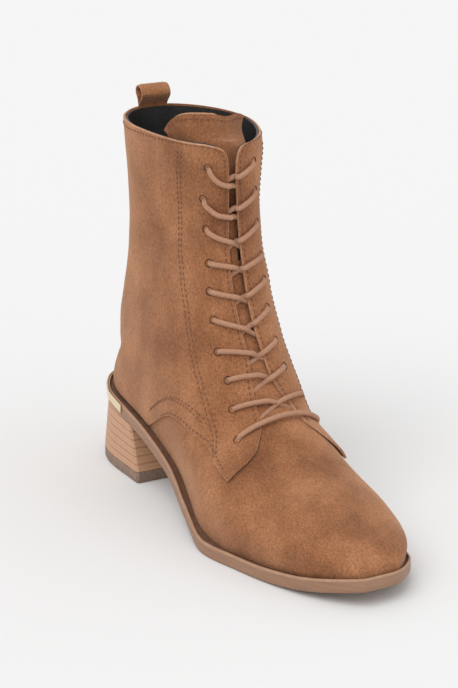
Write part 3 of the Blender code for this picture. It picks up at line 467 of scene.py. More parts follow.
def shaft_section(row, per_side):
    back, share, low, front, high, side, back_side, lateral, medial, widest, *rounds, under_round = row
    base_x = station_x(back)
    floor = seat_height(base_x)
    base = (base_x, low * COLLAR_HEIGHT if low else floor)
    crest = (station_x(front), high * COLLAR_HEIGHT)
    spread = feather(back)[0] * share
    widths = np.maximum(np.array([lateral, medial]) * SHAFT_WIDTH, spread + LEDGE / 8)
    sides = (back_side * SHAFT_WIDTH, side * SHAFT_WIDTH)
    return section(base, crest, *sides, spread, widths, widest, rounds, under_round, per_side)


def last_sections(per_side=40):
    """Points of every section in the two tables."""
    foot = [foot_section(row, per_side) for row in FOOT]
    return np.array(foot + [shaft_section(row, per_side) for row in SHAFT])


SECTIONS = last_sections()


def last_rows(rows):
    """Points of the last's outer surface on any rows, as an array of rows, columns and coordinates."""
    rows = np.asarray(rows, float)
    knots = range(len(SECTIONS))
    found = smooth(knots, SECTIONS, rows)
    reach = SEAM_EASE * np.exp(-(((rows - SEAM_ROW) / SEAM_REACH) ** 2))
    before = smooth(knots, SECTIONS, rows - reach)
    after = smooth(knots, SECTIONS, np.minimum(rows + reach, RIM_ROW))
    from_base = 1 - np.abs(np.linspace(-1, 1, found.shape[1]))
    weight = np.clip(from_base / SEAM_SHARE, 0, 1)[None, :, None]
    found += SEAM_AMOUNT * weight * ((before + after) / 2 - found)
    on_sole = rows < SEAM_ROW
    found[on_sole, 0, 2] = seat_heights(found[on_sole, 0, 0])
    found[on_sole, -1, 2] = seat_heights(found[on_sole, -1, 0])
    return found


def last_points(rows, shares):
    """Points at shares from -1 (lateral base) over 0 (crest) to 1 (medial base); one list of shares a row."""
    found = last_rows(rows)
    marks = np.linspace(-1, 1, found.shape[1])
    shares = np.broadcast_to(shares, (len(found), np.shape(shares)[-1]))
    return np.array([read_line(share, marks, line) for line, share in zip(found, shares)])


def last_normals(rows, shares):
    """Outward normals at the same places; on the back seam both sides share one."""
    rows = np.asarray(rows, float)
    shares = np.array(np.broadcast_to(shares, (len(rows), np.shape(shares)[-1])), float)
    step, across_step = 0.08, 0.03
    fore = last_points(np.minimum(rows + step, RIM_ROW), shares)
    fore = fore - last_points(np.maximum(rows - step, 0), shares)
    across = last_points(rows, np.minimum(shares + across_step, 1))
    across = across - last_points(rows, np.maximum(shares - across_step, -1))
    normals = -np.cross(fore, across)
    normals /= np.linalg.norm(normals, axis=2)[..., None] + 1e-12
    seam = rows >= SEAM_ROW
    both = (shares[:, 0] == -1) & (shares[:, -1] == 1) & seam
    mean = normals[both, 0] + normals[both, -1]
    mean /= np.linalg.norm(mean, axis=1)[:, None] + 1e-12
    normals[both, 0] = mean
    normals[both, -1] = mean
    return normals


def share_at(rows, distances):
    """Share on each row that lies a distance from the crest, negative on the lateral side."""
    found = last_rows(rows)
    middle = found.shape[1] // 2
    marks = np.linspace(-1, 1, found.shape[1])
    shares = []
    for line, distance in zip(found, np.broadcast_to(distances, len(found))):
        run = run_along(line)
        shares.append(np.interp(run[middle] + distance, run, marks))
    return np.array(shares)


def shifted(points, normals, offset):
    return points + normals * np.asarray(offset, float)[..., None]


def under_quarters(rows):
    """How far the vamp and lining lie under the quarters, growing smoothly where they begin."""
    start, full = QUARTER_ROW - 2.5, QUARTER_ROW + 0.4
    return QUARTER_STEP * ease((np.asarray(rows) - start) / (full - start))


def facing_shares(rows, lap=0.0):
    """Shares of the lateral and medial facing edges; a lap moves both away from the crest."""
    lateral, medial = read(FACING, rows).T * THROAT_GAP
    return share_at(rows, -lateral - lap), share_at(rows, medial + lap)


def heel_ring(height, count=13):
    """Plan of the heel block at a share of its height: a round back and a straight breast."""
    share = 1 - np.cos(np.linspace(0, math.pi / 2, count))
    foot_x = HEEL_LENGTH * (share - 0.5)
    end = np.clip(((HEEL_ROUND - 0.5) * HEEL_LENGTH - foot_x) / (HEEL_ROUND * HEEL_LENGTH), 0, 1)
    foot = HEEL_WIDTH / 2 * (1 - end**HEEL_POWER) ** (1 / HEEL_POWER)
    top_x = SOLE_BACK + HEEL_INSET + share * (HEEL_LENGTH - BREAST_SLANT)
    top = half_widths((top_x - SOLE_BACK) / SOLE_LENGTH) - HEEL_INSET
    x = foot_x + height * (top_x - foot_x)
    sides = []
    for side in (0, 1):
        width = foot + height * (top[:, side] - foot)
        width[0] = HEEL_FLAT * width[1]
        sides.append(width)
    corner_x = np.append(x[:-1], [x[-1] - BREAST_CORNER, x[-1]])
    lateral, medial = (np.append(width[:-1], [width[-1], width[-1] - BREAST_CORNER]) for width in sides)
    return np.vstack([np.column_stack([corner_x, -lateral]), np.column_stack([corner_x, medial])[::-1]])


def outline_part(inset, stations):
    """Open line in plan round the heel, from the medial end over the back to the lateral end."""
    margin = 1 + len(stations)
    longer = np.append(stations, stations[-1] + (stations[-1] - stations[-2]))
    ring = outline(inset, longer)
    return np.vstack([ring[margin + 1:], ring[:margin - 1]])


# Materials

# Noise scales of suede, from its soft clouds over the tufts of its nap to single fibres
CLOUDS, TUFTS, FIBRES = 38, 950, 2600
WOOD_LAYER = 0.0046


def nodes_of(name, roughness, metallic=0.0):
    made = bpy.data.materials.new(name)
    made.use_nodes = True
    tree = made.node_tree
    shader = tree.nodes["Principled BSDF"]
    shader.inputs["Roughness"].default_value = roughness
    shader.inputs["Metallic"].default_value = metallic
    return made, tree, shader


def noise_node(tree, scale, detail=4.0, stretch=(1, 1, 1), rough=0.55):
    """Noise in the object's own metres."""
    place = tree.nodes.new("ShaderNodeTexCoord")
    mapping = tree.nodes.new("ShaderNodeMapping")
    mapping.inputs["Scale"].default_value = stretch
    tree.links.new(place.outputs["Object"], mapping.inputs["Vector"])
    grain = tree.nodes.new("ShaderNodeTexNoise")
    grain.inputs["Scale"].default_value = scale
    grain.inputs["Detail"].default_value = detail
    grain.inputs["Roughness"].default_value = rough
    tree.links.new(mapping.outputs["Vector"], grain.inputs["Vector"])
    return grain


def ramp(tree, source, stops):
    """Colours by the value of a socket."""
    made = tree.nodes.new("ShaderNodeValToRGB")
    tree.links.new(source, made.inputs["Fac"])
    while len(made.color_ramp.elements) < len(stops):
        made.color_ramp.elements.new(0.5)
    for element, (place, color) in zip(made.color_ramp.elements, stops):
        element.position = place
        element.color = (*color, 1.0)
    return made.outputs["Color"]


def multiply(tree, first, second, amount=1.0):
    made = tree.nodes.new("ShaderNodeMix")
    made.data_type = "RGBA"
    made.blend_type = "MULTIPLY"
    made.inputs["Factor"].default_value = amount
    tree.links.new(first, made.inputs["A"])
    tree.links.new(second, made.inputs["B"])
    return made.outputs["Result"]


def bump(tree, shader, source, strength, distance):
    made = tree.nodes.new("ShaderNodeBump")
    made.inputs["Strength"].default_value = strength
    made.inputs["Distance"].default_value = distance
    tree.links.new(source, made.inputs["Height"])
    tree.links.new(made.outputs["Normal"], shader.inputs["Normal"])


def suede(name, dark, middle, light, nap):
    """Cloudy colour with tufts and fibres, and a soft sheen."""
    made, tree, shader = nodes_of(name, 0.92)
    clouds = noise_node(tree, CLOUDS, 5, (1, 1, 0.7))
    tone = ramp(tree, clouds.outputs["Fac"], [(0.30, dark), (0.52, middle), (0.74, light)])
    tufts = noise_node(tree, TUFTS, 4, (1, 1, 0.7), 0.8)
    stops = [(0.32, (0.56, 0.53, 0.50)), (0.53, (1.0, 1.0, 1.0)), (0.72, (1.36, 1.36, 1.36))]
    mottle = ramp(tree, tufts.outputs["Fac"], stops)
    fibres = noise_node(tree, FIBRES, 3, (1, 1, 0.45), 0.7)
    shade = ramp(tree, fibres.outputs["Fac"], [(0.28, (0.72, 0.70, 0.68)), (0.62, (1.08, 1.08, 1.08))])
    tree.links.new(multiply(tree, multiply(tree, tone, mottle), shade), shader.inputs["Base Color"])
    bump(tree, shader, tufts.outputs["Fac"], nap, 0.0005)
    shader.inputs["Sheen Weight"].default_value = 0.45
    shader.inputs["Sheen Roughness"].default_value = 0.5
    shader.inputs["Sheen Tint"].default_value = (0.95, 0.62, 0.42, 1)
    shader.inputs["Specular IOR Level"].default_value = 0.15
    return made


def plain(name, dark, light, roughness, scale, metallic=0.0, strength=0.2, stretch=(1, 1, 1)):
    """Two tones of one grain, which also gives the relief."""
    made, tree, shader = nodes_of(name, roughness, metallic)
    grain = noise_node(tree, scale, 4, stretch)
    tree.links.new(ramp(tree, grain.outputs["Fac"], [(0.3, dark), (0.7, light)]), shader.inputs["Base Color"])
    bump(tree, shader, grain.outputs["Fac"], strength, 0.0003)
    return made


def math_node(tree, operation, source, value):
    """Node that works out one value from a socket and a constant."""
    made = tree.nodes.new("ShaderNodeMath")
    made.operation = operation
    tree.links.new(source, made.inputs[0])
    made.inputs[1].default_value = value
    return made


def stacked_wood(name):
    """Layers of wood with dark joints, and fine grain along each."""
    made, tree, shader = nodes_of(name, 0.5)
    place = tree.nodes.new("ShaderNodeTexCoord")
    split = tree.nodes.new("ShaderNodeSeparateXYZ")
    tree.links.new(place.outputs["Object"], split.inputs["Vector"])
    drift = noise_node(tree, 30, 2)
    height = math_node(tree, "MULTIPLY_ADD", drift.outputs["Fac"], 0.0006)
    tree.links.new(split.outputs["Z"], height.inputs[2])
    layer = math_node(tree, "PINGPONG", height.outputs[0], WOOD_LAYER / 2)
    share = math_node(tree, "DIVIDE", layer.outputs[0], WOOD_LAYER / 2)
    bands = ramp(tree, share.outputs[0], [
        (0.0, (0.55, 0.30, 0.17)), (0.45, (0.63, 0.365, 0.22)), (0.82, (0.53, 0.28, 0.16)),
        (1.0, (0.38, 0.185, 0.10)),
    ])
    grain = noise_node(tree, 160, 6, (1, 1, 14))
    shade = ramp(tree, grain.outputs["Fac"], [(0.3, (0.78, 0.74, 0.70)), (0.65, (1.0, 1.0, 1.0))])
    tree.links.new(multiply(tree, bands, shade), shader.inputs["Base Color"])
    bump(tree, shader, grain.outputs["Fac"], 0.25, 0.0002)
    return made


SUEDE = suede("suede", (0.215, 0.083, 0.036), (0.335, 0.140, 0.063), (0.455, 0.205, 0.100), 0.6)
RAW_EDGE = suede("suede_raw_edge", (0.38, 0.19, 0.105), (0.46, 0.24, 0.14), (0.54, 0.30, 0.19), 0.4)
# Thread brown, darkened well below the suede's tone as painted shade for the dents the stitches sit in.
THREAD_PAINTED_SHADE = plain("thread_painted_shade", (0.13, 0.052, 0.024), (0.21, 0.090, 0.043), 0.7, 2500)
CORD = plain(
    "lace_cord", (0.30, 0.145, 0.080), (0.52, 0.29, 0.185), 0.85, 1300, strength=0.8, stretch=(1, 1, 2.5)
)
LINING = plain("black_leather", (0.009, 0.008, 0.008), (0.022, 0.020, 0.019), 0.45, 700, strength=0.35)
SOLE_SIDE = plain(
    "sole_edge", (0.265, 0.137, 0.078), (0.335, 0.185, 0.112), 0.5, 240, stretch=(0.3, 0.3, 3)
)
# Top of the sole's rim: the sole's own tone lightened as a painted highlight where the light falls on it.
SOLE_RIM_PAINTED_HIGHLIGHT = plain("sole_rim_painted_highlight", (0.36, 0.20, 0.12), (0.44, 0.26, 0.165), 0.55, 240)
SOLE_TREAD = plain("sole_tread", (0.26, 0.17, 0.115), (0.34, 0.23, 0.16), 0.75, 150)
# Ledge between the rim and the upper: a near-black brown that paints the shade falling into it.
LEDGE_PAINTED_SHADE = plain("sole_ledge_painted_shade", (0.10, 0.045, 0.022), (0.16, 0.075, 0.040), 0.8, 300)
WOOD = stacked_wood("stacked_wood")
RUBBER = plain("heel_rubber", (0.20, 0.13, 0.092), (0.30, 0.205, 0.15), 0.75, 500, strength=0.4)
GOLD = plain("pale_gold", (0.80, 0.63, 0.38), (0.92, 0.78, 0.54), 0.18, 60, 1.0, 0.04)
BRASS = plain("antique_brass", (0.22, 0.16, 0.085), (0.44, 0.33, 0.18), 0.34, 350, 1.0, 0.15)
TAPE = plain("zip_tape", (0.16, 0.038, 0.014), (0.27, 0.075, 0.028), 0.75, 1800, strength=0.5)
COIL = plain("zip_coil", (0.20, 0.060, 0.025), (0.36, 0.120, 0.050), 0.4, 900)
# Floor of each eyelet hollow: near black, a painted shade standing in for the depth of the hole.
EYELET_PAINTED_SHADE = plain("eyelet_hole_painted_shade", (0.010, 0.006, 0.004), (0.03, 0.015, 0.010), 0.9, 900)


# Meshes


def new_object(name, data):
    item = bpy.data.objects.new(name, data)
    bpy.context.scene.collection.objects.link(item)
    return item


def ring_faces(rings, sides, start=0):
    """Faces of a tube through rings of points that are numbered one after another."""
    faces = []
    for ring in range(rings - 1):
        for side in range(sides):
            a, b = start + ring * sides + side, start + ring * sides + (side + 1) % sides
            faces.append((a, b, b + sides, a + sides))
    return faces


def end_faces(rings, sides):
    """The two faces that close such a tube."""
    return [tuple(range(sides))[::-1], tuple(range((rings - 1) * sides, rings * sides))]


def add_bead(points, faces, stops, first, second):
    """Add a small bead to a mesh: stops are middles and widths, and its section spans two directions."""
    sides = 6
    faces.extend(ring_faces(len(stops), sides, len(points)))
    for middle, width in stops:
        for angle in np.arange(sides) * 2 * math.pi / sides:
            points.append(middle + (first * math.cos(angle) + second * math.sin(angle)) * width)


def add_piece(name, points, faces, finish, body="boot", angle=50.0, slots=None):
    """Mesh object that rides on a body; slots gives each face's place in the list of materials."""
    mesh = bpy.data.meshes.new(name)
    mesh.from_pydata([tuple(map(float, point)) for point in points], [], faces)
    for made in finish if isinstance(finish, list) else [finish]:
        mesh.materials.append(made)
    if slots is not None:
        mesh.polygons.foreach_set("material_index", slots)
    work = bmesh.new()
    work.from_mesh(mesh)
    bmesh.ops.remove_doubles(work, verts=work.verts, dist=1e-6)
    bmesh.ops.delete(work, geom=[vertex for vertex in work.verts if not vertex.link_faces], context="VERTS")
    bmesh.ops.recalc_face_normals(work, faces=work.faces)
    work.to_mesh(mesh)
    work.free()
    mesh.shade_smooth()
    mesh.set_sharp_from_angle(angle=math.radians(angle))
    item = new_object(name, mesh)
    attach(item, body)
    return item


def slab(name, grids, finish, keep=None, inner_slot=0, edge_slot=0):
    """Sheet through two or more grids from its outer to its inner face, closed round its borders."""
    rows, columns = grids[0].shape[:2]
    total = rows * columns
    number = np.arange(total).reshape(rows, columns)
    cells = [(i, j) for i in range(rows - 1) for j in range(columns - 1) if keep is None or keep[i, j]]
    faces = [(number[i, j], number[i, j + 1], number[i + 1, j + 1], number[i + 1, j]) for i, j in cells]
    edges = {(face[k], face[(k + 1) % 4]) for face in faces for k in range(4)}
    border = [(b, a) for a, b in sorted(edges) if (b, a) not in edges]
    solid = [tuple(int(v) for v in face) for face in faces]
    last = len(grids) - 1
    solid += [tuple(int(v) + total * last for v in reversed(face)) for face in faces]
    for level in range(last):
        low, high = total * level, total * (level + 1)
        solid += [(int(b) + low, int(a) + low, int(a) + high, int(b) + high) for b, a in border]
    slots = [0] * len(faces) + [inner_slot] * len(faces) + [edge_slot] * (last * len(border))
    points = np.vstack([grid.reshape(-1, 3) for grid in grids])
    return add_piece(name, points, solid, finish, slots=slots)


def tube(name, path, radius, finish, sides=10):
    """Round cord along a path, with its two ends closed."""
    along = unit(np.gradient(path, axis=0))
    side = np.cross(along[0], [0.3, 0.2, 1.0])
    rings = []
    for point, ahead in zip(path, along):
        side = side - ahead * (side @ ahead)
        side /= np.linalg.norm(side)
        over = np.cross(ahead, side)
        angles = np.arange(sides) * 2 * math.pi / sides
        rings.append(point + radius * (np.cos(angles)[:, None] * side + np.sin(angles)[:, None] * over))
    faces = ring_faces(len(path), sides) + end_faces(len(path), sides)
    return add_piece(name, np.vstack(rings), faces, finish)


def curve_through(points, density):
    """Smooth curve through points, with a number of steps between two of them."""
    points = np.asarray(points, float)
    padded = np.vstack([2 * points[0] - points[1], points, 2 * points[-1] - points[-2]])
    found = []
    for i in range(len(points) - 1):
        a, b, c, d = padded[i:i + 4]
        square, cube = 2 * a - 5 * b + 4 * c - d, 3 * b - a - 3 * c + d
        for t in np.linspace(0, 1, density, endpoint=False):
            found.append(0.5 * (2 * b + (c - a) * t + square * t**2 + cube * t**3))
    return np.array(found + [points[-1]])


def even_path(path, step):
    run = run_along(path)
    return read_line(np.linspace(0, run[-1], max(2, round(run[-1] / step) + 1)), run, path)


def ground(rows, shares, offset=0.0):
    """Outer face of the quarters at rows and shares, given as two equal arrays, and the normals there."""
    rows = np.atleast_1d(np.asarray(rows, float))
    shares = np.broadcast_to(np.asarray(shares, float), rows.shape)[:, None]
    points = last_points(rows, shares)
    normals = last_normals(rows, shares)
    lift = offset + flap_lift(rows)[:, None]
    return relief(points, normals, rows)[:, 0] + normals[:, 0] * lift, normals[:, 0]


def flap_lift(rows):
    """How far the loose corners of the two flaps stand off the vamp."""
    t = np.clip((10.5 - np.asarray(rows, float)) / 1.1, 0, 1)
    return FLAP_LIFT * t**1.5


def relief(points, normals, rows):
    """Soft creases of worn suede: low ones all over, and a few across the ankle's bend."""
    low = np.zeros(points.shape[:2])
    for i, row in enumerate(rows):
        ankle = math.exp(-(((row - ANKLE_ROW) / ANKLE_ROWS) ** 2))
        for j in range(points.shape[1]):
            place = Vector(points[i, j])
            soft = sum(noise.noise(place * scale) * share for scale, share in DENTS)
            bent = noise.noise(place * Vector(CREASES))
            low[i, j] = DENT_DEPTH * soft + CREASE_DEPTH * bent * ankle
    at_toe = np.clip(rows / 2.0, 0, 1)[:, None]
    return points + normals * (low * at_toe)[..., None]


def surface(rows, shares):
    """Relief surface on a grid of rows and shares, with its normals."""
    points = last_points(rows, shares)
    normals = last_normals(rows, shares)
    return relief(points, normals, np.asarray(rows, float)), normals


def seat_edges(grid, rows):
    """Put the lower edge of a grid that reaches the sole onto it."""
    on_sole = np.asarray(rows) <= SEAM_ROW
    for edge in (0, -1):
        grid[on_sole, edge, 2] = seat_heights(grid[on_sole, edge, 0]) - CLEARANCE


# Upper


def make_vamp():
    """Vamp and its lining, from the toe to under the quarters, open at the throat."""
    rows = np.concatenate([np.linspace(0, 2, 13), np.arange(2, VAMP_END_ROW, 0.15)])
    rows = np.unique(np.round(rows, 4))
    lateral, medial = facing_shares(np.maximum(rows, THROAT_ROW), THROAT_LAP)
    side, gap = 34, 15  # columns of each side and of the throat between them
    shares = np.hstack([
        np.linspace(-np.ones(len(rows)), lateral, side, axis=1),
        np.linspace(lateral, medial, gap, axis=1)[:, 1:-1],
        np.linspace(medial, np.ones(len(rows)), side, axis=1),
    ])
    points, normals = surface(rows, shares)
    sunk = np.broadcast_to(under_quarters(rows)[:, None], shares.shape)
    keep = np.ones((len(rows) - 1, shares.shape[1] - 1), bool)
    keep[np.ix_(rows[:-1] >= TONGUE_FROM, np.arange(side - 1, side - 2 + gap))] = False
    grids = [shifted(points, normals, -sunk), shifted(points, normals, -sunk - WALL)]
    for grid in grids:
        seat_edges(grid, rows)
        grid[0, :, 2] = seat_heights(grid[0, :, 0]) - CLEARANCE
    vamp = slab("vamp", grids, [SUEDE, LINING], keep, inner_slot=1)
    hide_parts("upper")


def make_lining():
    """Black leather lining of the shaft, under the quarters; its rim shows inside the collar."""
    rows = np.concatenate([np.arange(LINING_ROW, COLLAR_ROW, 0.3), [COLLAR_ROW + 0.03]])
    lateral, medial = facing_shares(rows, THROAT_LAP / 2)
    side = 36
    base = np.ones(len(rows))
    for name, near, far in (("lining_lateral", -base, lateral), ("lining_medial", medial, base)):
        shares = np.linspace(near, far, side, axis=1)
        points, normals = surface(rows, shares)
        sunk = np.broadcast_to(under_quarters(rows)[:, None], shares.shape)
        grids = [shifted(points, normals, -sunk - CLEARANCE / 2), shifted(points, normals, -sunk - WALL)]
        for grid in grids:
            seat_edges(grid, rows)
        lining = slab(name, grids, [LINING])


def make_quarter(side):
    """Quarter of one side, 0 lateral or 1 medial, with a cut edge that is a little lighter."""
    rows = np.unique(np.round(np.concatenate([
        [QUARTER_ROW, QUARTER_ROW + 0.03, QUARTER_ROW + 0.1],
        np.arange(9.6, 13.5, 0.1), np.arange(13.5, COLLAR_ROW, 0.2), [COLLAR_ROW, RIM_ROW],
    ]), 4))
    front = np.abs(facing_shares(rows)[side])
    hem = read(QUARTER_HEM, rows)[:, 0]
    shares = np.linspace(front, hem, 46, axis=1)
    if side == 0:
        shares = -shares[:, ::-1]
    points, normals = surface(rows, shares)
    points = shifted(points, normals, np.broadcast_to(flap_lift(rows)[:, None], shares.shape))
    inset = points.copy()
    inset[:, 0] += EDGE_BEVEL * unit(points[:, 1] - points[:, 0])
    inset[:, -1] += EDGE_BEVEL * unit(points[:, -2] - points[:, -1])
    inset[-1, :, 2] -= EDGE_BEVEL
    middle = shifted(points, normals, np.full(shares.shape, -EDGE_BEVEL))
    low = shifted(points, normals, np.full(shares.shape, -QUARTER_STEP))
    name = ("quarter_lateral", "quarter_medial")[side]
    quarter = slab(name, [inset, middle, low], [SUEDE, RAW_EDGE], edge_slot=1)
    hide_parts("upper")


def seam_grid(rows, at):
    """Points and normals round the back seam, at distances from it."""
    near = 12  # columns on each side of the seam
    found = last_rows(rows)
    all_normals = last_normals(rows, np.linspace(-1, 1, found.shape[1]))
    grid, normal = [], []
    for points, normals in zip(found, all_normals):
        ring = np.vstack([points[-near - 1:-1], points[:near + 1]])
        ring_normals = np.vstack([normals[-near - 1:-1], normals[:near + 1]])
        run = run_along(ring)
        run = run - run[near]
        grid.append(read_line(at, run, ring))
        normal.append(read_line(at, run, ring_normals))
    normal = unit(np.array(normal))
    return relief(np.array(grid), normal, rows), normal


def make_back_strip():
    """Narrow strip over the back seam, with a row of stitches along each edge."""
    rows = np.append(np.arange(SEAM_ROW, RIM_ROW, 0.15), RIM_ROW)
    half = BACK_STRIP_WIDTH / 2
    right = [half * 0.35, half * 0.7, half - 0.0006, half]  # the last step rounds the edge
    at = np.array([-place for place in right[::-1]] + [0] + right)
    points, normals = seam_grid(rows, at)
    rise = np.full(points.shape[:2], BACK_STRIP_STEP)
    rise[:, [0, -1]] = BACK_STRIP_STEP * 0.35
    strip = slab(
        "back_strip", [shifted(points, normals, rise), shifted(points, normals, rise * 0 - QUARTER_STEP)],
        [SUEDE, RAW_EDGE], edge_slot=1,
    )
    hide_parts("upper")
    stitch_place = half - BACK_STITCH_TO_EDGE
    for number, place in enumerate((-stitch_place, stitch_place)):
        line, out = seam_grid(rows[2:-2], np.array([place]))
        stitch_row(f"stitch_back_{number}", line[:, 0] + out[:, 0] * BACK_STRIP_STEP, out[:, 0])


def make_tongue():
    """Tongue that starts under the vamp's throat and leans back above the collar."""
    rows = np.unique(np.round(np.concatenate([np.arange(TONGUE_FROM, 27, 0.25), [RIM_ROW]]), 4))
    lateral, medial, lean = read(TONGUE, np.maximum(rows, 11.6)).T
    medial = medial + 0.7 * np.clip((rows - 23) / 4, 0, 1)
    low = share_at(rows, -lateral * THROAT_GAP)
    high = share_at(rows, medial * THROAT_GAP)
    shares = np.linspace(low, high, TONGUE_COLUMNS, axis=1)
    points, normals = surface(rows, shares)
    start = QUARTER_STEP + CLEARANCE / 10
    depth = start + (WALL + QUARTER_STEP + 3 * CLEARANCE - start) * ease((rows - TONGUE_FROM) / 1.6)
    depth = np.broadcast_to(depth[:, None], shares.shape)
    back = lean[:, None, None] * np.array([TONGUE_LEAN, 0.0, 0.0])
    edge = np.linspace(-1, 1, TONGUE_COLUMNS)
    faces = []
    for sunk in (depth, depth + TONGUE_THICKNESS):
        face = shifted(points, normals, -sunk) - back
        top = [face[-1] + tongue_rise(rise, edge) for rise in TONGUE_LEVELS]
        faces.append(np.concatenate([face, top]))
    for face in faces:
        for _ in range(12):  # smooths the last 13 rows below its top edge
            face[-14:-1] += 0.5 * ((face[-15:-2] + face[-13:]) / 2 - face[-14:-1])
    outer, inner = faces
    middle = 0.85 * outer + 0.15 * inner
    tongue = slab("tongue", [outer, middle, inner], [SUEDE, LINING, RAW_EDGE], inner_slot=1, edge_slot=2)
    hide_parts("tongue")
    top = len(rows) + len(TONGUE_LEVELS) - 3
    out = unit(np.cross(outer[top + 1] - outer[top - 1], np.gradient(outer[top], axis=0)))
    out *= np.sign(out[TONGUE_COLUMNS // 2, 0])
    stitch_row("stitch_tongue", outer[top, 1:-1], out[1:-1])


def tongue_rise(rise, edge):
    """Shift of the tongue's top above the collar: round corners, with the medial one folded forward."""
    corner = np.where(edge < 0, *TONGUE_CORNERS) * np.abs(edge) ** 5
    up = TONGUE_STAND * rise * (1 - corner)
    fold = 0.0028 * rise * np.clip((edge - 0.6) / 0.4, 0, 1) ** 1.5
    return np.stack([-0.25 * rise * TONGUE_STAND + fold, 0.6 * fold, up], 1)


def make_pull_loop():
    """Folded loop whose two tails straddle the collar at the back."""
    rim = last_points([RIM_ROW], np.array([-1.0]))[0, 0]
    inside = WALL + QUARTER_STEP + LOOP_WIDTH / 4
    profiles = []
    for shape in (LOOP_OUTER, LOOP_INNER):
        line = np.array([
            (rim[0] + inside + (depth - 0.12) * LOOP_DEPTH, rim[1], rim[2] + height * LOOP_HEIGHT)
            for depth, height in shape
        ])
        profiles.append(curve_through(line, 5))
    across = np.linspace(-0.5, 0.5, 9) * LOOP_WIDTH
    bevel = np.zeros(len(across))
    bevel[[0, -1]] = EDGE_BEVEL
    wall = last_rows([RIM_ROW])[0]
    wall = np.vstack([wall[-12:-1], wall[:12]])
    wall = wall[np.argsort(wall[:, 1])]
    bend = np.interp(rim[1] + across, wall[:, 1], wall[:, 0]) - rim[0]
    grids = []
    for line, sign in zip(profiles, (1, -1)):
        along = np.gradient(line, axis=0)
        normal = unit(np.stack([along[:, 2], 0 * along[:, 0], -along[:, 0]], 1))
        grid = line[:, None] + np.stack([0 * across, across, 0 * across], 1)[None]
        grid = grid + sign * normal[:, None] * bevel[None, :, None]
        # Low down, both tails lie against the bend of the collar.
        height = (line[:, 2] - rim[2]) / LOOP_HEIGHT
        hold = ease((0.62 - height) / 0.62)[:, None]
        close = rim[0] + 0.0017 + 0.5 * bend[None] + (line[:, 0] - rim[0] - inside)[:, None] * 0.35
        grid[:, :, 0] = grid[:, :, 0] * (1 - hold) + close * hold
        grids.append(grid)
    loop = slab("pull_loop", grids, [SUEDE, RAW_EDGE], edge_slot=1)
    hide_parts("pull_loop")


# Stitches and eyelets

STITCH_PITCH = 0.0030
STITCH_LENGTH = 0.0023
STITCH_RADIUS = 0.00033
STITCH_TO_EDGE = 0.0023
DOUBLE_ROW = 0.0028  # between the two rows of a double seam
COLLAR_STITCH_ROW = 26.75

# Outer row of the eyestay's two: row and distance from the crest
EYESTAY = [
    (25.9, 0.030), (22.3, 0.037), (19.6, 0.0395), (16.4, 0.037), (14.8, 0.034),
    (12.1, 0.034), (11.25, 0.0334), (10.9, 0.0347), (10.4, 0.040),
]

# Curved seam over the arch: row and share
ARCH = [(13.4, 0.85), (13.0, 0.65), (12.4, 0.55), (11.5, 0.47)]


def stitch_row(name, path, normals):
    """Row of short stitches that stand half out of the suede and dip into it at both ends."""
    run = run_along(path)
    count = int(run[-1] / STITCH_PITCH)
    points, faces = [], []
    shape = [(-0.5, 0.01), (-0.40, 0.76), (-0.15, 1.01), (0.15, 1.01), (0.40, 0.76), (0.5, 0.01)]
    for k in range(count):
        centre = (k + 0.5) * run[-1] / count
        before, middle, after = (read_line(centre + step, run, path) for step in (-0.0005, 0, 0.0005))
        ahead = unit(after - before)
        side = unit(np.cross(ahead, read_line(centre, run, normals)))
        out = np.cross(side, ahead)
        stops = [
            (middle + ahead * place * STITCH_LENGTH + out * (0.00012 - 0.0003 * (2 * place) ** 2), width)
            for place, width in shape
        ]
        add_bead(points, faces, stops, side * (1.15 * STITCH_RADIUS), out * STITCH_RADIUS)
    # The thread's dark tone is painted shade for the stitch dents.
    item = add_piece(name, points, faces, THREAD_PAINTED_SHADE)


def surface_stitches(name, marks, side, by_share=False):
    """Stitch row along marks of row and distance from the crest, or of row and share."""
    rows, across = curve_through(marks, 14).T
    stitch_row(name, *ground(rows, across * side if by_share else share_at(rows, across * side)))


def make_stitches():
    for number, (side, name) in enumerate(((-1, "lateral"), (1, "medial"))):
        for line, shift in enumerate((0.0, DOUBLE_ROW)):
            marks = [(row, distance + shift) for row, distance in EYESTAY]
            surface_stitches(f"stitch_eyestay_{name}_{line}", marks, side)
        facing = [(row[0], row[1 + number] * THROAT_GAP + STITCH_TO_EDGE) for row in FACING[3:]]
        facing[-1] = (26.7, facing[-1][1])
        surface_stitches(f"stitch_facing_{name}", facing, side)
        start = abs(facing_shares(np.array([COLLAR_STITCH_ROW]))[number][0]) + 0.02
        points, normals = ground(np.full(40, COLLAR_STITCH_ROW), side * np.linspace(start, 0.93, 40))
        stitch_row(f"stitch_collar_{name}", points, normals)
        hem_rows = np.linspace(9.75, 12.9, 60)
        hem = read(QUARTER_HEM, hem_rows)[:, 0]
        lengths = np.array([arc_length(row, side) for row in hem_rows])
        points, normals = ground(hem_rows, side * (hem - 0.0024 / lengths))
        stitch_row(f"stitch_hem_{name}", points, normals)
        for line, shift in enumerate((0.0, 0.022)):
            marks = [(row, share - shift) for row, share in ARCH]
            surface_stitches(f"stitch_arch_{name}_{line}", marks, side, by_share=True)


def arc_length(row, side):
    """Length of a row from the crest down one side."""
    line = last_rows([row])[0]
    middle = len(line) // 2
    return run_along(line[:middle + 1] if side < 0 else line[middle:])[-1]


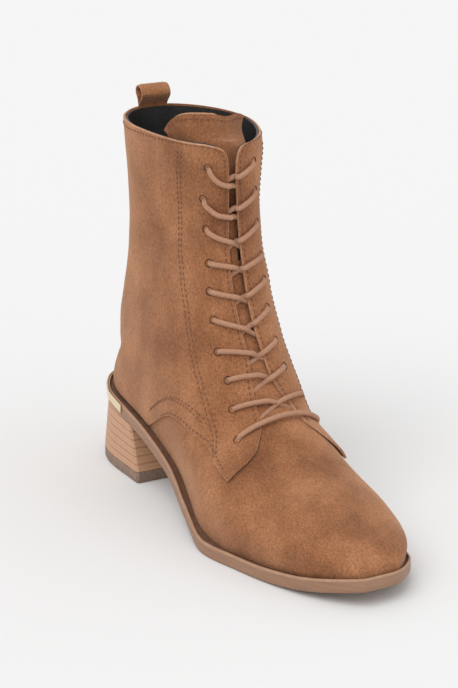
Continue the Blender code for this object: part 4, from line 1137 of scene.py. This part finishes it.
def disc(name, centre, normal):
    """Shallow hollow with a soft suede rim, where the lace goes in; its floor is painted near black as the
    shade inside the hole.
    """
    turned = Vector(normal).to_track_quat("Z", "Y").to_matrix()
    sides = 16
    points = []
    profile = [(1.25, -0.0003), (1.12, 0.0002), (0.95, 0.00012), (0.80, -0.0004)]
    for share, height in profile:
        radius = EYELET_RADIUS * share
        for angle in np.arange(sides) * 2 * math.pi / sides:
            local = Vector((math.cos(angle) * radius, math.sin(angle) * radius, height))
            points.append(Vector(centre) + turned @ local)
    faces = ring_faces(len(profile), sides) + end_faces(len(profile), sides)[1:]
    slots = [0] * sides + [1] * (sides * 2 + 1)
    return add_piece(name, points, faces, [SUEDE, EYELET_PAINTED_SHADE], slots=slots)


# Lace


def lace_marks():
    """Row and signed distance from the crest of each eyelet."""
    lateral = [(row, -share * EYELET_SPREAD) for row, share, _, _ in EYELETS]
    medial = [(row, share * EYELET_SPREAD) for _, _, row, share in EYELETS]
    return lateral, medial


def lace_link(start, end, over_top, droop):
    """Points from an eyelet over the gap and under the opposite facing to the next eyelet."""
    out = LACE_RADIUS + 0.0001
    side = math.copysign(1, start[1])
    edge = facing_distance(start[0], side)
    far = facing_distance(end[0], -side)
    span = abs(start[1]) + abs(end[1])
    near_t = (abs(start[1]) - edge) / span
    far_t = (abs(start[1]) + far) / span
    stops = [
        (0.015, -0.0030),
        (0.025, out * 0.1),
        (0.09, out * 0.95),
        (near_t * 0.6, out),
        (near_t, out * 0.95),
        ((near_t + far_t) / 2 - 0.07, 0.0013 if over_top else -0.0012),
        (far_t - 0.05, -0.0021 if over_top else -0.0024),
        (far_t + 0.08, -0.0027),
        (0.93, -0.0034),
    ]
    marks = []
    for t, offset in stops:
        share = 1 - (1 - t) ** droop
        row = row_along(run_of(start[0]) * (1 - share) + run_of(end[0]) * share)
        distance = start[1] + (end[1] - start[1]) * t
        share = share_at([row], distance)
        marks.append(ground([row], share, offset)[0][0])
    return marks


def crest_runs():
    """Rows, and the length along the crest up to each."""
    rows = np.linspace(QUARTER_ROW, RIM_ROW, 353)
    return rows, run_along(last_points(rows, np.array([0.0]))[:, 0])


CREST = crest_runs()


def run_of(row):
    return float(np.interp(row, *CREST))


def row_along(run):
    return float(np.interp(run, CREST[1], CREST[0]))


def facing_distance(row, side):
    lateral, medial = read(FACING, [row])[0] * THROAT_GAP
    return lateral if side < 0 else medial


def make_lace():
    """One lace from the top pair down one way, across the lowest pair and up the other way."""
    lateral, medial = lace_marks()
    holes = list(zip(lateral, medial))
    chains = []
    for first in (0, 1):
        side = first
        points = []
        for pair in range(len(holes) - 1):
            start, end = holes[pair][side], holes[pair + 1][1 - side]
            points += lace_link(start, end, side == 0, LACE_DROOP[pair][side])
            side = 1 - side
        chains.append(points)
    low_lateral, low_medial = holes[-1]
    bar = []  # straight run across the lowest pair
    stops = [
        (0.01, -0.003), (0.02, 0.0002), (0.07, LACE_RADIUS), (0.25, LACE_RADIUS + 0.0004),
        (0.5, LACE_RADIUS + 0.0008), (0.75, LACE_RADIUS + 0.0004), (0.93, LACE_RADIUS), (0.99, 0.0003),
        (1.0, -0.003),
    ]
    for t, offset in stops:
        row = low_lateral[0] + (low_medial[0] - low_lateral[0]) * t - 0.10 * math.sin(math.pi * t)
        distance = low_lateral[1] + (low_medial[1] - low_lateral[1]) * t
        share = share_at([row], distance)
        place, normal = ground([row], share, offset)
        gap_drop = under_quarters([row])[0] if abs(distance) < facing_distance(row, distance) else 0.0
        bar.append(place[0] - normal[0] * gap_drop * 0.3)
    first, second = chains[::-1] if len(holes) % 2 else chains
    path = even_path(curve_through(first + bar[::-1] + second[::-1], 6), 0.0011)
    lace = tube("lace", path, LACE_RADIUS, CORD)
    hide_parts(*[f"lace_{number}" for number in range(1, 11)])
    for pair, sides in enumerate(holes, 1):
        for label, (row, distance) in zip(("lateral", "medial"), sides):
            place, normal = ground([row], share_at([row], distance))
            hole = disc(f"eyelet_{pair}_{label}", place[0], normal[0])


# Sole and heel

RIGID_ANGLE = 35.0  # edges sharper than this, in degrees, are shaded as edges


def ring_piece(name, rings, finish, slots_by_level):
    """Closed solid through rings of equal length, lowest first; the last two slots are its bottom and top."""
    count = len(rings[0])
    faces = ring_faces(len(rings), count)
    slots = [slot for slot in slots_by_level[:len(rings) - 1] for _ in range(count)]
    top = (len(rings) - 1) * count
    for i in range(count // 2 - 1):
        a, b, c, d = i, i + 1, count - 2 - i, count - 1 - i
        faces += [(a, d, c, b), (top + a, top + b, top + c, top + d)]
        slots += slots_by_level[-2:]
    return add_piece(name, np.vstack(rings), faces, finish, angle=RIGID_ANGLE, slots=slots)


def make_outsole():
    """Unit sole with a raised rim and a ledge inside it."""
    stations = stations_between(0, 1, 150)

    def ring(inset, rise):
        line = outline(inset, stations)
        x = np.clip(line[:, 0], SOLE_BACK, SOLE_BACK + SOLE_LENGTH)
        return np.column_stack([line, underside(x) + rise])

    top = SOLE_THICKNESS
    profile = [
        (0.0012, 0.0), (0.0005, 0.0002), (0.0001, 0.0008), (0.0, 0.0016), (0.0, top - 0.0012),
        (0.0001, top - 0.0004), (0.0004, top), (RIM_WIDTH - 0.0003, top), (RIM_WIDTH, top - 0.0003),
        (RIM_WIDTH + 0.0003, top - RIM_HEIGHT),
    ]
    # The rim's top carries a painted highlight, and the ledge a painted shade.
    finish = [SOLE_SIDE, SOLE_RIM_PAINTED_HIGHLIGHT, SOLE_TREAD, LEDGE_PAINTED_SHADE]
    rings = [ring(inset, rise) for inset, rise in profile]
    sole = ring_piece("outsole", rings, finish, [2, 0, 0, 0, 1, 1, 1, 3, 3, 2, 3])
    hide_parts("outsole")


def make_heel():
    """Stacked block under the sole, and the rubber lift under it."""
    count = 44
    base = LIFT_HEIGHT + CLEARANCE / 3
    rings = []
    for share in np.linspace(0, 1, 14):
        ring = heel_ring(share, count)
        top = underside(ring[:, 0]) - CLEARANCE / 3
        rings.append(np.column_stack([ring, base + share * (top - base)]))
    block = ring_piece("heel_block", rings, [WOOD], [0] * 15)
    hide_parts("heel_block")
    ring = heel_ring(0.0, count)
    centre = ring.mean(axis=0)

    def eased(amount):
        return centre + (ring - centre) * (1 - amount / (HEEL_WIDTH / 2))

    levels = [
        (0.0009, 0.0), (0.0003, 0.0002), (0.0, 0.0008), (0.0, LIFT_HEIGHT - 0.0005), (0.0003, LIFT_HEIGHT),
    ]
    rings = [np.column_stack([eased(amount), np.full(len(ring), height)]) for amount, height in levels]
    lift = ring_piece("heel_lift", rings, [RUBBER], [0] * 6)
    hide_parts("heel_top_lift")


def make_strip():
    """Thin metal strip round the back of the heel seat."""
    stations = stations_between(0, STRIP_REACH / SOLE_LENGTH, 46)
    inner, outer = -CLEARANCE, -CLEARANCE - STRIP_THICKNESS
    low, high = SOLE_THICKNESS - STRIP_HEIGHT, SOLE_THICKNESS
    profile = [
        (inner, low + 0.0001), (outer + 0.00015, low), (outer, low + 0.0002),
        (outer, high - 0.0002), (outer + 0.00015, high), (inner, high - 0.0001),
    ]
    lines = []
    for inset, rise in profile:
        line = outline_part(inset, stations)
        lines.append(np.column_stack([line, underside(np.maximum(line[:, 0], SOLE_BACK)) + rise]))
    rings = np.stack(lines, axis=1)
    faces = ring_faces(*rings.shape[:2]) + end_faces(*rings.shape[:2])
    strip = add_piece("heel_strip", rings.reshape(-1, 3), faces, GOLD, angle=RIGID_ANGLE)
    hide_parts("heel_strip")


# Zip

SLIDER_ROWS = (25.9, 26.0, 26.1)
TOOTH_PITCH = 0.00145
TOOTH_HALF = 0.00036


def zip_line(rows):
    """Middle line of the zip, its normals and the direction across it."""
    shares = read(ZIP[::-1], rows)
    points = last_points(rows, shares)
    normals = last_normals(rows, shares)
    points = relief(points, normals, np.asarray(rows))[:, 0]
    normals = normals[:, 0]
    return points, normals, unit(np.cross(np.gradient(points, axis=0), normals))


def make_zip():
    """Tape, coil and the stitches beside them."""
    rows = np.linspace(ZIP[-1][0], ZIP[0][0], 150)
    points, normals, across = zip_line(rows)
    half = ZIP_WIDTH / 2
    sides = np.array([-half - 0.0012, -half, -0.0019, -0.0016, 0.0016, 0.0019, half, half + 0.0012])
    rise = np.array([0.0001, 0.0003, 0.0003, 0.0001, 0.0001, 0.0003, 0.0003, 0.0001])
    grid = points[:, None] + across[:, None] * sides[None, :, None]
    normal = np.repeat(normals[:, None], len(sides), axis=1)
    top = shifted(grid, normal, np.broadcast_to(rise, grid.shape[:2]))
    tape = slab("zip_tape", [top, shifted(grid, normal, np.full(grid.shape[:2], -0.001))], [TAPE])
    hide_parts("zip_coil")
    path = even_path(points, TOOTH_PITCH)
    run = run_along(points)
    at = np.linspace(0, run[-1], len(path))
    normal, cross = read_line(at, run, normals), read_line(at, run, across)
    profile = [(2.0, 0.02), (1.9, 0.77), (1.2, 1.02), (0.2, 1.02), (-0.5, 0.82), (-0.7, 0.02)]
    verts, faces = [], []
    for k in range(1, len(path) - 1):
        ahead = unit(path[k + 1] - path[k - 1])
        for sign in (-1, 1):
            centre = path[k] + ahead * (TOOTH_HALF * sign) + normal[k] * 0.00025
            stops = [(centre + cross[k] * sign * reach * 0.001, width) for reach, width in profile]
            add_bead(verts, faces, stops, ahead * TOOTH_HALF, normal[k] * 0.0005)
    teeth = add_piece("zip_teeth", verts, faces, COIL)
    for number, place in enumerate((-half - DOUBLE_ROW, half + DOUBLE_ROW)):
        line = points + across * place
        stitch_row(f"stitch_zip_{number}", line[2:-1], normals[2:-1])


def slider_frame():
    """Place of the slider on the zip, and the directions up, out and level there."""
    rows = np.array(SLIDER_ROWS)
    shares = read(ZIP[::-1], rows)
    points = last_points(rows, shares)[:, 0]
    normal = Vector(last_normals(rows, shares)[1, 0])
    up = Vector(points[2] - points[0]).normalized()
    side = up.cross(normal).normalized()
    level = Vector((side.x, side.y, 0)).normalized()
    up = normal.cross(level).normalized()
    return Vector(points[1]), up, normal, level


def prism(name, place, rings):
    """Closed object through rings, each an outline across and up a frame with its height out of it."""
    origin, up, normal, side = place
    points = [tuple(origin + side * x + up * y + normal * z) for ring, z in rings for x, y in ring]
    sizes = len(rings), len(rings[0][0])
    mesh = bpy.data.meshes.new(name)
    mesh.from_pydata(points, [], ring_faces(*sizes) + end_faces(*sizes))
    work = bmesh.new()
    work.from_mesh(mesh)
    bmesh.ops.recalc_face_normals(work, faces=work.faces)
    work.to_mesh(mesh)
    work.free()
    return new_object(name, mesh)


def plate(name, place, outer, heights, finish, body, hole=None):
    """Plate with a drawn outline on a frame, rounded at its edges, and with a hole cut through it."""
    low, high = heights
    soft = min(0.0003, (high - low) / 3)
    outer = np.array(outer)
    centre = outer.mean(axis=0)
    away = outer - centre
    shrunk = centre + away * (1 - soft / np.linalg.norm(away, axis=1))[:, None]
    item = prism(name, place, [(shrunk, low), (outer, low + soft), (outer, high - soft), (shrunk, high)])
    item.data.materials.append(finish)
    if hole:
        cutter = prism(f"{name}_cut", place, [(hole, low - 0.002), (hole, high + 0.002)])
        change = item.modifiers.new("cut", "BOOLEAN")
        change.operation = "DIFFERENCE"
        change.object = cutter
        change.solver = "EXACT"
        bpy.context.view_layer.update()
        evaluated = item.evaluated_get(bpy.context.evaluated_depsgraph_get())
        cut = bpy.data.meshes.new_from_object(evaluated)
        item.modifiers.clear()
        item.data = cut
        bpy.data.objects.remove(cutter, do_unlink=True)
    item.data.shade_smooth()
    item.data.set_sharp_from_angle(angle=math.radians(40))
    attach(item, body)
    return item


def rounded(low, high, corner, steps=4):
    """Outline of a rectangle with round corners."""
    points = []
    for cx, cy, start in (
        (high[0] - corner, high[1] - corner, 0), (low[0] + corner, high[1] - corner, 90),
        (low[0] + corner, low[1] + corner, 180), (high[0] - corner, low[1] + corner, 270),
    ):
        for k in range(steps + 1):
            angle = math.radians(start + 90 * k / steps)
            points.append((cx + corner * math.cos(angle), cy + corner * math.sin(angle)))
    return points


def make_slider():
    """Slider with its bridge, and the pull tab that hangs plumb from it."""
    place = slider_frame()
    base = ZIP_PROUD + CLEARANCE
    top = base + SLIDER_THICKNESS
    half = np.array([(0.45, 1.0), (0.93, 0.80), (1.0, 0.3), (0.80, -0.35), (0.62, -0.92)])
    ends = np.array([(0, 0.72)]), np.array([(0, -1.0)])
    shape = np.vstack([ends[0], half, ends[1], half[::-1] * [-1, 1], ends[0]])
    shape = curve_through(shape * [SLIDER_WIDTH / 2, SLIDER_LENGTH / 2], 4)[:-1]
    slider = plate("zip_slider", place, shape, (base, top), BRASS, "boot")
    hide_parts("zip_slider")
    origin, up, normal, side = place
    bar, arm = BRIDGE_WIDTH / 2, BRIDGE_LENGTH / 2
    peak = top + BRIDGE_HEIGHT - bar
    arch = [
        (-arm + bar, top - 0.0004), (-arm + bar, top + 0.0008), (-arm + 2.2 * bar, peak - 0.0004),
        (0, peak), (arm - 2.2 * bar, peak - 0.0004), (arm - bar, top + 0.0008), (arm - bar, top - 0.0004),
    ]
    path = curve_through([origin + up * y + normal * z for y, z in arch], 5)
    bridge = tube("zip_bridge", path, bar, BRASS)
    out = ZIP_PROUD + SLIDER_THICKNESS + 2 * CLEARANCE + PULL_THICKNESS / 2
    centre = origin + normal * out + up * (BRIDGE_LENGTH / 2 - BRIDGE_WIDTH * 1.6)
    plumb = Vector((0, 0, 1))
    away = plumb.cross(side).normalized()
    if away.dot(normal) < 0:
        away = -away
    half, width = PULL_THICKNESS / 2, PULL_WIDTH / 2
    outer = rounded((-width, half - PULL_LENGTH), (width, half), 0.0016)
    gap = BRIDGE_WIDTH / 2 + 2 * CLEARANCE
    slot = rounded((-gap, -BRIDGE_LENGTH), (gap, -half), 0.0005, 3)
    pull = plate("zip_pull", (centre, plumb, away, side), outer, (-half, half), BRASS, "pull_tab", slot)
    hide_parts("zip_pull")


# Stage


def make_stage():
    far = FLOOR_REACH
    mesh = bpy.data.meshes.new("floor")
    mesh.from_pydata([(-far, -far, 0), (far, -far, 0), (far, far, 0), (-far, far, 0)], [], [(0, 1, 2, 3)])
    made, _, shader = nodes_of("floor", 0.9)
    shader.inputs["Base Color"].default_value = FLOOR_TONE
    shader.inputs["Specular IOR Level"].default_value = 0.0
    mesh.materials.append(made)
    new_object("floor", mesh)


def make_lights():
    """Soft even light from the world, and two far lights."""
    world = bpy.data.worlds.new("studio")
    bpy.context.scene.world = world
    world.use_nodes = True
    world.node_tree.nodes["Background"].inputs["Color"].default_value = (1, 1, 1, 1)
    world.node_tree.nodes["Background"].inputs["Strength"].default_value = WORLD_STRENGTH
    for name, place, spread, power in LIGHTS:
        data = bpy.data.lights.new(name, "SUN")
        data.angle = math.radians(spread)
        data.energy = power
        item = new_object(name, data)
        item.location = place
        item.rotation_euler = (Vector(LIGHT_TARGET) - Vector(place)).to_track_quat("-Z", "Y").to_euler()


def make_camera():
    data = bpy.data.cameras.new("camera")
    data.sensor_fit = "VERTICAL"
    data.sensor_height = SENSOR_HEIGHT
    data.lens = FOCAL_PIXELS * SENSOR_HEIGHT / PICTURE_HEIGHT
    data.clip_start = 0.01
    item = new_object("camera", data)
    turned = Vector(CAMERA_VIEW).normalized().to_track_quat("-Z", "Y")
    item.rotation_mode = "QUATERNION"
    item.rotation_quaternion = turned @ Quaternion((0, 0, 1), math.radians(CAMERA_ROLL))
    item.location = CAMERA_PLACE
    bpy.context.scene.camera = item


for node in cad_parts.values():
    if node.name.startswith("insole"):
        node.data.materials.clear()
        node.data.materials.append(LINING)

make_vamp()
make_lining()
make_quarter(0)
make_quarter(1)
make_back_strip()
make_tongue()
make_pull_loop()
make_stitches()
make_lace()
make_outsole()
make_heel()
make_strip()
make_zip()
make_slider()
make_stage()
make_camera()
make_lights()
bpy.context.scene.view_settings.view_transform = "Standard"
